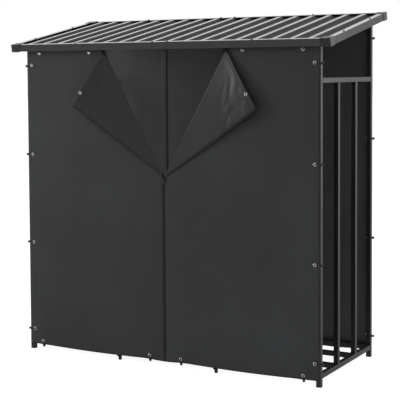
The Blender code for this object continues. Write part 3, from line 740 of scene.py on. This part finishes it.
def flap_surface(side):
    """The surface of one flap as it lies folded out, from its place on the closed cover."""
    apex_x = FOLD_TOP.x - ZIP_EDGE
    corner_along = apex_x * -FOLD_ALONG.x
    corner_across = apex_x * -FOLD_ACROSS.x
    length = (FOLD_TOP.z - ZIP_APEX) / -FOLD_ALONG.z
    free_height = corner_across * math.sin(FLAP_TILT)
    bend_start = math.hypot(BEND_SHARE, BEND_BLUR) - BEND_SHARE
    bend_end = (1 - BEND_SHARE + math.hypot(1 - BEND_SHARE, BEND_BLUR) - bend_start) / 2
    steeper = (1 - BEND_RISE / BEND_SHARE) / bend_end

    def surface(x, z, lift=0.0):
        right = np.abs(np.asarray(x, float)) - FOLD_TOP.x
        up = z - FOLD_TOP.z
        along = right * FOLD_ALONG.x + up * FOLD_ALONG.z
        across = right * FOLD_ACROSS.x + up * FOLD_ACROSS.z
        corner = np.clip(across / corner_across, 0, 1)
        apex = np.clip((along - corner_along * corner) / length, 0, 1)
        spread = np.maximum(corner + apex, 1e-6)
        share = corner / spread
        past = share - BEND_SHARE
        past = (past + np.sqrt(past ** 2 + BEND_BLUR ** 2) - bend_start) / 2
        bent = BEND_RISE / BEND_SHARE * share + steeper * past
        arch = ARCH_HEIGHT * np.sin(math.pi * corner) * (1 - apex) ** 3 * (1 - 0.4 * apex)
        streaks = uneven(0.30 * share, 0.10 * spread, 0.050, 20 + side)
        streaks = streaks + 0.4 * uneven(0.30 * share, 0.16 * spread, 0.020, 30 + side)
        crumple = CRUMPLE[side] * spread * ease(share - 0.45, 0.3) * np.minimum(streaks - 1.2, 0)
        height = FOLD_LAYER + free_height * spread * bent + arch + crumple - lift
        reach = across * math.cos(FLAP_TILT)
        out = FOLD_TOP.x + along * FOLD_ALONG.x - reach * FOLD_ACROSS.x
        rise = FOLD_TOP.z + along * FOLD_ALONG.z - reach * FOLD_ACROSS.z
        back = SETTLE[side] * corner ** 2 / math.hypot(corner_along, corner_across)
        out = out - back * (corner_along * FOLD_ALONG.x - corner_across * FOLD_ACROSS.x)
        rise = rise - back * (corner_along * FOLD_ALONG.z - corner_across * FOLD_ACROSS.z)
        return np.stack((side * out, FOLD_TOP.y - height, rise), -1)

    return surface


def thicken(item, gauge, coated=False):
    """Gives a single layer its thickness, with its second material behind if it is coated."""
    solid = item.modifiers.new("thickness", "SOLIDIFY")
    solid.thickness = gauge
    solid.offset = 0
    solid.material_offset = int(coated)


def hang_cloth(name, surface, x, z, faces_out, back=COVER_BACK):
    """A cloth laid on its surface, with its woven face, its coated back and a real thickness."""
    if not faces_out:
        x, z = x[:, ::-1], z[:, ::-1]
    item = add_object(name, surface(x.ravel(), z.ravel()), grid_faces(*x.shape), COVER_FACE, back)
    thicken(item, CLOTH_GAUGE, coated=True)
    return item


def lay_strip(name, surface, x, z, material, gauge):
    """A narrow strip of cloth or tape on a surface's inner face."""
    item = add_object(name, surface(x.ravel(), z.ravel(), np.full(x.size, HEM_LIFT)),
                      grid_faces(*x.shape), material)
    thicken(item, gauge)
    return item


def punch_eyelets(item, frames):
    """Cuts the eyelets' bores through a cloth."""
    mesh = bmesh.new()
    for matrix in frames:
        place = Matrix(matrix) @ Matrix.Rotation(math.pi / 2, 4, "X")
        bmesh.ops.create_cone(mesh, cap_ends=True, segments=20, radius1=EYELET_BORE,
                              radius2=EYELET_BORE, depth=0.008, matrix=place)
    points, faces = take_mesh(mesh)
    cutter = add_object("bores", points, faces)
    cut = item.modifiers.new("eyelet bores", "BOOLEAN")
    cut.operation = "DIFFERENCE"
    cut.object = cutter
    apply_modifiers(item)
    bpy.data.objects.remove(cutter)


def edge_grid(inner, outer, heights, columns):
    """Flat places of a cloth region: at each height a row runs from inner to outer."""
    share = np.linspace(0, 1, columns)
    inner, outer = (np.broadcast_to(edge, heights.shape)[:, None] for edge in (inner, outer))
    return inner + (outer - inner) * share, np.repeat(heights[:, None], columns, axis=1)


def hem_strip(name, surface, start, end, steps, inward):
    """A doubled hem along one edge of the flat cloth; inward points into the cloth."""
    edge = np.linspace(start, end, steps)
    depth = HEM_WIDTH * np.linspace(0, 1, 6)
    x = edge[:, :1] + inward[0] * depth
    z = edge[:, 1:] + inward[1] * depth
    return lay_strip(name, surface, x, z, HEM_CLOTH, HEM_GAUGE)


def stitch_frames(surface, start, end):
    """Frames of the stitches in one straight row on the flat cloth."""
    start, end = np.array(start), np.array(end)
    length = np.linalg.norm(end - start)
    count = int(length / STITCH_PITCH)
    share = (np.arange(count) + 0.5) / count
    places = start + (end - start) * share[:, None]
    step = (end - start) / length * PROBE
    return frames_on(surface, places[:, 0], places[:, 1], step)


def stitch_shape():
    """One lens-shaped stitch that shows on both faces of the cloth."""
    mesh = bmesh.new()
    bmesh.ops.create_uvsphere(mesh, u_segments=6, v_segments=4, radius=0.5)
    bmesh.ops.rotate(mesh, verts=mesh.verts, matrix=Matrix.Rotation(math.pi / 2, 3, "Y"))
    bmesh.ops.scale(mesh, vec=STITCH_SIZE, verts=mesh.verts)
    return take_mesh(mesh)


def eyelet_shape():
    """A pressed eyelet: a rolled collar on the outer face and a flat washer behind."""
    profile = [(0.0048, 0.0002), (0.0050, 0.0012), (0.0059, 0.0018), (0.0071, 0.0018), (0.0082, 0.0012),
               (EYELET_RADIUS, 0.0005), (EYELET_RADIUS, -0.0006), (0.0080, -0.0012), (0.0060, -0.0012),
               (0.0050, -0.0008)]
    return turned(profile, 24, closed=True)


STITCH = stitch_shape()
EYELET = eyelet_shape()


def sew(name, surface, rows):
    """Straight rows of stitches on the flat cloth, each given by its two ends."""
    stitches = np.concatenate([stitch_frames(surface, *row) for row in rows])
    return stamp(name, STITCH, stitches, THREAD)


def fit_eyelets(name, surface, places, cloth):
    """Eyelets at flat places of a cloth, and their bores through it."""
    frames = frames_on(surface, *zip(*places), ALONG_X)
    punch_eyelets(cloth, frames)
    return stamp(name, EYELET, frames, EYELET_PLATE), frames


def fit_out(cloth, node, body, extras):
    """Lets a cloth stand for its CAD node; it and what is sewn to it ride on one body."""
    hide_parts(node)
    for piece in (cloth, *extras):
        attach(piece, body)


# ---- covers

def make_front_panel(label, side):
    """One half of the front cover, from the zip and the fold line to the corner post."""
    name = "front_{}_" + label
    width, height = COVER_HIGH.x - ZIP_EDGE, FRONT.top - FRONT.bottom
    lower = int(FRONT_ROWS * (PANEL_SPLIT - FRONT.bottom) / height)
    heights = np.append(np.linspace(FRONT.bottom, PANEL_SPLIT, lower)[:-1],
                        np.linspace(PANEL_SPLIT, FRONT.top, FRONT_ROWS - lower))
    x, z = edge_grid(inner_edge(heights), COVER_HIGH.x, heights, FRONT_COLUMNS)
    cloth = hang_cloth(name.format("cloth"), front_surface, side * x, z, side > 0)
    places = [place for place in FRONT.all_eyelets() if place[0] * side > 0]
    rings, frames = fit_eyelets(name.format("eyelets"), front_surface, places, cloth)
    edge = side * COVER_HIGH.x
    low_corner, high_corner = (edge, FRONT.bottom), (edge, FRONT.top)
    side_hem = hem_strip(name.format("side_hem"), front_surface,
                         low_corner, high_corner, 60, (-side, 0))
    top_hem = hem_strip(name.format("top_hem"), front_surface,
                        (side * FOLD_TOP.x, FRONT.top), high_corner, 30, (0, -1))
    bottom_hem = hem_strip(name.format("bottom_hem"), front_surface,
                           (0, FRONT.bottom), low_corner, 44, (0, 1))
    punch_eyelets(top_hem, frames)
    punch_eyelets(bottom_hem, frames)
    seam, zip_seam = edge - side * HEM_SEAM, side * ZIP_SEAM
    low, high = FRONT.bottom + HEM_SEAM, FRONT.top - HEM_SEAM
    rows = [((seam, low), (seam, high)), ((edge, low), (side * ZIP_EDGE, low)),
            ((side * (FOLD_TOP.x + 0.02), high), (edge, high)),
            ((zip_seam, ZIP_BOTTOM), (zip_seam, ZIP_APEX - 0.004))]
    extras = [rings, side_hem, top_hem, bottom_hem, sew(name.format("stitching"), front_surface, rows)]
    fit_out(cloth, "front_cover_" + label, "rack", extras)


def make_flap(label, side):
    """The folded-out corner of the front cover, its coated side up, with its half of the zip."""
    surface = flap_surface(side)
    name = "flap_{}_" + label
    heights = np.linspace(FLAP_LOW, FRONT.top, FLAP_ROWS)
    x, z = edge_grid(ZIP_EDGE, fold_line(heights), heights, FLAP_COLUMNS)
    cloth = hang_cloth(name.format("cloth"), surface, side * x, z, side > 0)
    place = (side * FLAP_EYELET[0], FLAP_EYELET[1])
    ring, frames = fit_eyelets(name.format("eyelet"), surface, [place], cloth)
    top_hem = hem_strip(name.format("top_hem"), surface, (side * ZIP_EDGE, FRONT.top),
                        (side * (FOLD_TOP.x - 0.012), FRONT.top), 40, (0, -1))
    punch_eyelets(top_hem, frames)
    seam, high = side * ZIP_SEAM, FRONT.top - HEM_SEAM
    rows = [((side * ZIP_EDGE, high), (side * (FOLD_TOP.x - 0.03), high)),
            ((seam, ZIP_APEX + 0.02), (seam, FRONT.top - 0.003))]
    stitching = sew(name.format("stitching"), surface, rows)
    tape, teeth = make_zip_half("flap_zip", label, side, surface, CHAIN_SPLIT, FRONT.top)
    roll = make_fold_roll(label, side)
    extras = [ring, top_hem, stitching, tape, teeth]
    fit_out(cloth, "flap_" + label, label + "_flap", extras)


def make_fold_roll(label, side):
    """The turned cloth along a fold line, from the panel's edge to the flap's."""
    distance = np.linspace(0, (FOLD_TOP.z - ZIP_APEX) / -FOLD_ALONG.z, 60)[:, None]
    turn = np.linspace(-math.pi / 2, math.pi / 2, 7)
    out = ROLL_BULGE * FOLD_LAYER * np.cos(turn)
    x = FOLD_TOP.x + distance * FOLD_ALONG.x + out * FOLD_ACROSS.x
    y = FOLD_TOP.y - FOLD_LAYER * np.sin(turn) * np.ones_like(x)
    z = FOLD_TOP.z + distance * FOLD_ALONG.z + out * FOLD_ACROSS.z
    points = np.stack((side * x, y, z), -1)
    if side > 0:
        points = points[:, ::-1]
    item = add_object("fold_roll_" + label, points.reshape(-1, 3), grid_faces(*x.shape),
                      COVER_FACE, COVER_BACK)
    thicken(item, CLOTH_GAUGE, coated=True)
    apply_modifiers(item)
    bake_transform(item)
    return item


def make_rear_cover():
    """The cover over the back, seen from inside through the open sides."""
    edge = COVER_HIGH.x
    x, z = edge_grid(-edge, edge, np.linspace(REAR.bottom, REAR.top, REAR_ROWS), REAR_COLUMNS)
    # Its inner face takes the lighter copy of the coated back, painted light for the covered inside.
    cloth = hang_cloth("rear_cloth", rear_surface, x, z, False, REAR_BACK_PAINTED_LIGHT)
    rings, frames = fit_eyelets("rear_eyelets", rear_surface, REAR.all_eyelets(), cloth)
    low_left, low_right = (-edge, REAR.bottom), (edge, REAR.bottom)
    high_left, high_right = (-edge, REAR.top), (edge, REAR.top)
    edges = {"left": (low_left, high_left, 60, (1, 0)), "right": (low_right, high_right, 60, (-1, 0)),
             "top": (high_left, high_right, 90, (0, -1)), "bottom": (low_left, low_right, 90, (0, 1))}
    hems = [hem_strip("rear_hem_" + name, rear_surface, *place) for name, place in edges.items()]
    for hem in hems:
        punch_eyelets(hem, frames)
    left, right = -edge + HEM_SEAM, edge - HEM_SEAM
    low, high = REAR.bottom + HEM_SEAM, REAR.top - HEM_SEAM
    rows = [((left, low), (left, high)), ((right, low), (right, high)),
            ((left, low), (right, low)), ((left, high), (right, high))]
    extras = [rings, *hems, sew("rear_stitching", rear_surface, rows)]
    fit_out(cloth, "rear_cover", "rack", extras)


# ---- zip

def make_zip_half(prefix, label, side, surface, low, high):
    """One tape and its row of teeth between two heights of the closed zip."""
    x, z = edge_grid(TAPE_EDGE, TAPE_OUTER, np.linspace(low, high, 60), 5)
    tape = lay_strip(f"{prefix}_tape_{label}", surface, side * x, z, ZIP_TAPE, TAPE_GAUGE)
    heights = np.arange(low + 0.002, high - 0.006, TOOTH_PITCH) + (side > 0) * TOOTH_PITCH / 2
    frames = frames_on(surface, side * TOOTH_ACROSS, heights, ALONG_Z, TOOTH_LIFT)
    teeth = stamp(f"{prefix}_teeth_{label}", rounded_block(TOOTH_SIZE, TOOTH_BEVEL), frames, ZIP_TEETH)
    return tape, teeth


def zip_surface(x, z, lift=0.0):
    """The closed zip hangs straight in the cover's plane."""
    x, z, lift = np.broadcast_arrays(np.asarray(x, float), z, lift)
    return np.stack((x, FRONT.plane - lift, z), -1)


def make_zip():
    """The closed zip below the opening, with its bottom stop."""
    for label, side in SIDES:
        tape, teeth = make_zip_half("zip", label, side, zip_surface, ZIP_BOTTOM, CHAIN_SPLIT)
        for piece in (tape, teeth):
            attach(piece, "rack")
    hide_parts("zip_chain")
    stop = stamp("zip_bottom_stop", rounded_block((0.007, 0.0026, 0.008), 0.0008),
                 frames_on(zip_surface, [0.0], [ZIP_BOTTOM + 0.002], ALONG_X), SLIDER_ENAMEL)
    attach(stop, "rack")


def plate(outline, thickness, bevel):
    """Points and faces of a flat plate with rounded rims; the outline is (x, z) and Y is its depth."""
    mesh = bmesh.new()
    rim = [mesh.verts.new((x, -thickness / 2, z)) for x, z in outline]
    face = mesh.faces.new(rim)
    moved = bmesh.ops.extrude_face_region(mesh, geom=[face])
    top = [item for item in moved["geom"] if isinstance(item, bmesh.types.BMVert)]
    bmesh.ops.translate(mesh, vec=(0, thickness, 0), verts=top)
    bmesh.ops.recalc_face_normals(mesh, faces=mesh.faces)
    level = [edge for edge in mesh.edges if abs(edge.verts[0].co.y - edge.verts[1].co.y) < 1e-9]
    bmesh.ops.bevel(mesh, geom=level, offset=bevel, segments=2, affect="EDGES", profile=0.5)
    return take_mesh(mesh)


def make_slider():
    """The slider: two shield-shaped plates round the chain, and the bridge that holds the pull."""
    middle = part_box("zip_slider")[0].z + SLIDER_HEIGHT / 2
    outline = [(-0.006, 0.008), (-0.0062, 0.004), (-0.0048, -0.003), (-0.0044, -0.008),
               (0.0044, -0.008), (0.0048, -0.003), (0.0062, 0.004), (0.006, 0.008), (0, 0.0064)]
    frames = [Matrix.Translation((0, FRONT.plane - depth, middle)) for depth in SLIDER_PLATES]
    body = stamp("slider_plates", plate(outline, 0.0011, 0.0003), np.array(frames), SLIDER_ENAMEL)
    bridge = bpy.data.curves.new("slider_bridge", "CURVE")
    bridge.dimensions = "3D"
    bridge.bevel_depth = 0.0009
    bridge.bevel_resolution = 3
    bridge.use_fill_caps = True
    arch = bridge.splines.new("POLY")
    arch.points.add(8)
    _, pin_y, pin_z = frame_joint("zip_pull_swing")["pos_m"]
    root = FRONT.plane - BRIDGE_ROOT
    for index, point in enumerate(arch.points):
        turn = math.pi * index / 8
        point.co = (0, root - (root - pin_y + 0.0014) * math.sin(turn),
                    pin_z - 0.0015 + 0.0045 * math.cos(turn), 1)
    bridge.materials.append(SLIDER_ENAMEL)
    arm = new_item("slider_bridge", bridge)
    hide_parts("zip_slider")
    for piece in (body, arm):
        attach(piece, "zip_slider")


# ---- bungees

def rounded_loop(corners):
    """A closed path of cord through the corners, each rounded as far as its sides allow."""
    corners = np.array(corners)
    before, after = np.roll(corners, 1, axis=0), np.roll(corners, -1, axis=0)
    path = []
    for last, corner, following in zip(before, corners, after):
        room = 0.45 * min(np.linalg.norm(last - corner), np.linalg.norm(following - corner))
        reach = min(LOOP_CORNER, room)
        start = corner + (last - corner) / np.linalg.norm(last - corner) * reach
        end = corner + (following - corner) / np.linalg.norm(following - corner) * reach
        for share in np.linspace(0, 1, 5):
            path.append((1 - share) ** 2 * start + 2 * share * (1 - share) * corner + share ** 2 * end)
    return np.array(path)


def bungee_mesh(corners, ball):
    """A closed elastic loop and the ball that it is knotted into, flat in the XY plane."""
    path = rounded_loop(corners)
    ahead = np.roll(path, -1, axis=0) - np.roll(path, 1, axis=0)
    ahead /= np.linalg.norm(ahead, axis=1, keepdims=True)
    angles = np.linspace(0, 2 * math.pi, 8, endpoint=False)
    side_u = path[:, None, 0] + CORD_RADIUS * np.cos(angles) * ahead[:, None, 1]
    side_v = path[:, None, 1] - CORD_RADIUS * np.cos(angles) * ahead[:, None, 0]
    side_w = CORD_RADIUS * np.sin(angles) * np.ones_like(side_u)
    cord_points = np.stack((side_u, side_v, side_w), -1).reshape(-1, 3)
    cord_faces = ring_faces(len(path), 8)
    bow = np.linspace(-math.pi / 2 + 0.25, math.pi / 2 - 0.25, 9)
    profile = [(0.001, -BALL_RADIUS * 0.93)]
    profile += [(BALL_RADIUS * math.cos(a), BALL_RADIUS * math.sin(a)) for a in bow]
    profile += [(0.0012, BALL_RADIUS * 0.90)]
    ball_points, ball_faces = turned(profile, 16)
    ball_points = ball_points + np.array((ball[0], ball[1], 0))
    shift = len(cord_points)
    ball_faces = [[corner + shift for corner in face] for face in ball_faces]
    mesh = bpy.data.meshes.new("bungee")
    mesh.from_pydata(np.vstack((cord_points, ball_points)).tolist(), [], cord_faces + ball_faces)
    mesh.materials.append(CORD_BRAID)
    mesh.materials.append(BALL_PLASTIC)
    for polygon in mesh.polygons[len(cord_faces):]:
        polygon.material_index = 1
    mesh.shade_smooth()
    return mesh


def hung_place(cover, x, z):
    """Where one point of a flat cover hangs."""
    return hang(cover, np.array(x), np.array(z))


def place_bungee(name, mesh, place, outward, inward):
    """Sets a bungee with its first axis outward and its second axis into the rack."""
    outward, inward = Vector(outward), Vector(inward)
    turn = Matrix((outward, inward, outward.cross(inward))).transposed().to_4x4()
    item = new_item(name, mesh, Matrix.Translation(place) @ turn)
    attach(item, "rack")
    return item


def make_side_bungees():
    """Four bungees round each corner post, through the covers' side eyelets."""
    post_low, post_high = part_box("front_post_right")
    outer = post_high.x + CORD_STAND - EYELET_X
    front = FRONT.plane - CLOTH_STAND - post_low.y
    back = post_high.y - post_low.y + CORD_STAND
    ball = (post_high.x + BALL_RADIUS + BALL_GAP - EYELET_X, BALL_SETBACK)
    mesh = bungee_mesh([(outer, back), (0, back), (0, front), (outer, front)], ball)
    for label, side in SIDES:
        for row, height in enumerate(FRONT_EYELET_ROWS, 1):
            item = place_bungee(f"front_bungee_{label}_{row}", mesh,
                                (side * EYELET_X, post_low.y, height), (side, 0, 0), (0, 1, 0))
            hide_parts(f"ball_bungee_{label}_{row}")
        for row, height in enumerate(REAR_EYELET_ROWS, 1):
            place_bungee(f"rear_bungee_{label}_{row}", mesh,
                         (side * EYELET_X, -post_low.y, height), (side, 0, 0), (0, -1, 0))


def make_hem_bungee(name, cover, across):
    """Round the base rail: in at the eyelet, over the rail and back under the hem to the ball."""
    low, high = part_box("base_rail_front")
    _, cloth, height = hung_place(cover, across, HEM_EYELET_HEIGHT)
    front = -cover.facing * (cloth + cover.facing * low.y) - CLOTH_STAND
    back = high.y - low.y + CORD_STAND
    foot = height - low.z + 0.011
    over = height - high.z - CORD_STAND
    corners = [(foot, back), (over, back), (over, -CORD_STAND), (-0.003, -CORD_STAND),
               (0.001, front), (foot, front)]
    mesh = bungee_mesh(corners, (foot + 0.005, 0.002))
    place_bungee(name, mesh, (across, -cover.facing * low.y, height), (0, 0, -1), (0, -cover.facing, 0))


def nearest_ridge(across):
    """Middle of the roof's ridge that stands nearest to a place across the rack."""
    first = CAD_BOX[0][0] + FIRST_RIDGE
    return first + RIDGE_PITCH * round((across - first) / RIDGE_PITCH)


def make_top_bungee(name, cover, across, beam):
    """Round a top beam: in at the eyelet and over the beam, leaning to pass under a ridge."""
    low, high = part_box(beam)
    x, cloth, height = hung_place(cover, across, cover.top_height)
    face = low.y if cover.facing < 0 else high.y
    front = -cover.facing * (cloth - face) - CLOTH_STAND
    back = high.y - low.y + CORD_STAND
    rise = Vector((nearest_ridge(x) - x, 0, high.z + CORD_STAND - height))
    reach = rise.length
    corners = [(reach, back), (0, back), (0, front), (reach, front)]
    mesh = bungee_mesh(corners, (reach - 0.018, front - 0.004))
    place_bungee(name, mesh, (x, face, height), rise.normalized(), (0, -cover.facing, 0))


def make_edge_bungees():
    """Bungees round the base rails and the top beams."""
    for end, cover in (("front", FRONT), ("rear", REAR)):
        for label, side in SIDES:
            for row, across in enumerate(cover.hem_eyelets, 1):
                make_hem_bungee(f"{end}_hem_bungee_{label}_{row}", cover, side * across)
            for row, across in enumerate(cover.top_eyelets, 1):
                make_top_bungee(f"{end}_top_bungee_{label}_{row}", cover, side * across,
                                f"top_beam_{end}_left")


# ---- screws

def roof_screw_shape():
    """A self-drilling screw's head: a sealing washer, a flange and a hexagon."""
    mesh = bmesh.new()
    stack = ((0.0058, 0.0058, 0.0008, 20), (0.0052, 0.0044, 0.0008, 20), (0.0036, 0.0033, 0.0022, 6))
    height = 0.0
    for wide, narrow, thick, sides in stack:
        bmesh.ops.create_cone(mesh, cap_ends=True, segments=sides, radius1=wide, radius2=narrow,
                              depth=thick, matrix=Matrix.Translation((0, 0, height + thick / 2)))
        height += thick
    return take_mesh(mesh)


def bolt_shape():
    """A pan-head bolt with a cross recess."""
    profile = [(0.0, 0.0030), (0.0008, 0.0020), (0.0016, 0.0029), (0.0032, 0.0026), (0.0046, 0.0015),
               (0.0050, 0.0), (0.0062, 0.0), (0.0062, -0.0003)]
    points, faces = turned(profile, 18)
    return points[:, [0, 2, 1]] * (1, -1, 1), faces


def surface_frame(node, origin, direction):
    """The frame where a ray meets a CAD node, with Z along the surface's normal."""
    mesh = frame["nodes"][node].data
    polygons = [tuple(polygon.vertices) for polygon in mesh.polygons]
    tree = BVHTree.FromPolygons([vertex.co for vertex in mesh.vertices], polygons)
    place, normal, _, _ = tree.ray_cast(Vector(origin), Vector(direction))
    return Matrix.Translation(place) @ normal.to_track_quat("Z", "Y").to_matrix().to_4x4()


def make_screws():
    """Roof screws through the trims and the bolts at the posts' feet and heads."""
    eaves = (("front_trim_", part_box("front_trim_left")[0].y + SCREW_INSET),
             ("rear_trim_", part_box("rear_trim_left")[1].y - SCREW_INSET))
    frames = []
    for label, side in SIDES:
        for across in EAVE_SCREWS:
            for node, depth in eaves:
                above = (side * across, depth, RAY_HEIGHT)
                frames.append(surface_frame(node + label, above, (0, 0, -1)))
        low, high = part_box("side_trim_" + label)
        edge = high.x - SCREW_INSET if side > 0 else low.x + SCREW_INSET
        for depth in VERGE_SCREWS:
            frames.append(surface_frame("side_trim_" + label, (edge, depth, RAY_HEIGHT), (0, 0, -1)))
    heads = stamp("roof_screws", roof_screw_shape(), np.array(frames), SCREW_ZINC)
    heads.data.shade_flat()
    frames = []
    for label, side in SIDES:
        for post in ("front_post_", "rear_post_"):
            low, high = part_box(post + label)
            middle = (low.y + high.y) / 2
            for height in (low.z + BOLT_INSET, high.z - 2 * BOLT_INSET):
                beside = (side * RAY_SIDE, middle, height)
                frames.append(surface_frame(post + label, beside, (-side, 0, 0)))
    bolts = stamp("frame_bolts", bolt_shape(), np.array(frames), SCREW_ZINC)
    for piece in (heads, bolts):
        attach(piece, "rack")


# ---- carried-over CAD nodes

def finish_cad_nodes():
    """Gives every CAD node that stays in view its finish, and softens the edges of the plastic corner
    caps and feet and of the zip's pull.
    """
    finishes = (("roof_sheet", RIBBED_COAT), ("_trim_", SHEET_COAT), ("corner_cap", CAP_PLASTIC),
                ("foot_", CAP_PLASTIC), ("zip_pull", SLIDER_ENAMEL), ("zip_slider", SLIDER_ENAMEL))
    for name, node in frame["nodes"].items():
        finish = next((material for key, material in finishes if key in name), TUBE_COAT)
        node.data.materials.clear()
        node.data.materials.append(finish)
        if finish in (CAP_PLASTIC, SLIDER_ENAMEL) and not node.hide_render:
            soften = node.modifiers.new("soft edges", "BEVEL")
            soften.width = 0.0018 if finish is CAP_PLASTIC else 0.0004
            soften.segments = 3
            soften.limit_method = "ANGLE"
            soften.harden_normals = True


# ---- camera, floor and light

def place_camera():
    """A long lens that looks at the rack from the right of its front."""
    camera = bpy.data.cameras.new("camera")
    camera.lens = CAMERA_LENS
    camera.sensor_width = 36
    camera.shift_x, camera.shift_y = CAMERA_SHIFT
    camera.clip_end = 100
    ahead = Vector((-math.sin(CAMERA_TURN) * math.cos(CAMERA_DIP),
                    math.cos(CAMERA_TURN) * math.cos(CAMERA_DIP), math.sin(CAMERA_DIP)))
    level = Vector((math.cos(CAMERA_TURN), math.sin(CAMERA_TURN), 0))
    rise = level.cross(ahead)
    right = level * math.cos(CAMERA_ROLL) + rise * math.sin(CAMERA_ROLL)
    up = right.cross(ahead)
    turn = Matrix((right, up, -ahead)).transposed().to_4x4()
    bpy.context.scene.camera = new_item("camera", camera, Matrix.Translation(CAMERA_PLACE) @ turn)


def lay_floor():
    """A plain pale floor that the camera sees brighter than the light it gives."""
    material, tree, shader = start_material("floor paint", 0.9)
    speckle = noise(tree, object_position(tree), 30.0, 3.0)
    seen = add_node(tree, "ShaderNodeLightPath").outputs["Is Camera Ray"]
    colour = blend_colours(tree, speckle, grey(0.5, 0.5, 0.5), grey(0.53, 0.53, 0.53))
    glow = remap(tree, seen, 0.0, 1.0, FLOOR_LIGHT, FLOOR_SEEN)
    feed(tree, shader, Base_Color=colour, Emission_Strength=glow)
    shader.inputs["Emission Color"].default_value = (1, 1, 1, 1)
    shader.inputs["Specular IOR Level"].default_value = 0.0
    corners = [(-40, -40, 0), (40, -40, 0), (40, 60, 0), (-40, 60, 0)]
    floor = add_object("floor", corners, [[0, 1, 2, 3]], material)


def soft_light(name, place, target, size, power):
    """A soft box that shines at a target."""
    light = bpy.data.lights.new(name, "AREA")
    light.shape = "RECTANGLE"
    light.size, light.size_y = size
    light.energy = power
    turn = (Vector(target) - Vector(place)).to_track_quat("-Z", "Y").to_matrix().to_4x4()
    new_item(name, light, Matrix.Translation(place) @ turn)


def light_studio():
    """A white backdrop that lights dimly, and soft boxes at the left, the right and behind the roof."""
    world = bpy.data.worlds.new("studio")
    bpy.context.scene.world = world
    world.use_nodes = True
    tree = world.node_tree
    surround = tree.nodes["Background"]
    seen = add_node(tree, "ShaderNodeLightPath").outputs["Is Camera Ray"]
    glow = remap(tree, seen, 0.0, 1.0, ROOM_LIGHT, ROOM_SEEN)
    feed(tree, surround, Color=(1, 1, 1, 1), Strength=glow)
    soft_light("right box", (4.4, 3.4, 2.0), target=(0, 0, 0.9), size=(3.0, 3.2), power=85)
    soft_light("left box", (-5.0, -2.9, 2.3), target=(0.2, -0.3, 1.2), size=(1.5, 2.6), power=68)
    soft_light("roof box", (-3.8, 6.4, 4.0), target=(0, 0, 1.7), size=(7.0, 2.6), power=62)
    bpy.context.scene.view_settings.view_transform = "Standard"


place_camera()
lay_floor()
light_studio()
for side_label, side_sign in SIDES:
    make_front_panel(side_label, side_sign)
    make_flap(side_label, side_sign)
make_rear_cover()
make_zip()
make_slider()
make_side_bungees()
make_edge_bungees()
make_screws()
finish_cad_nodes()
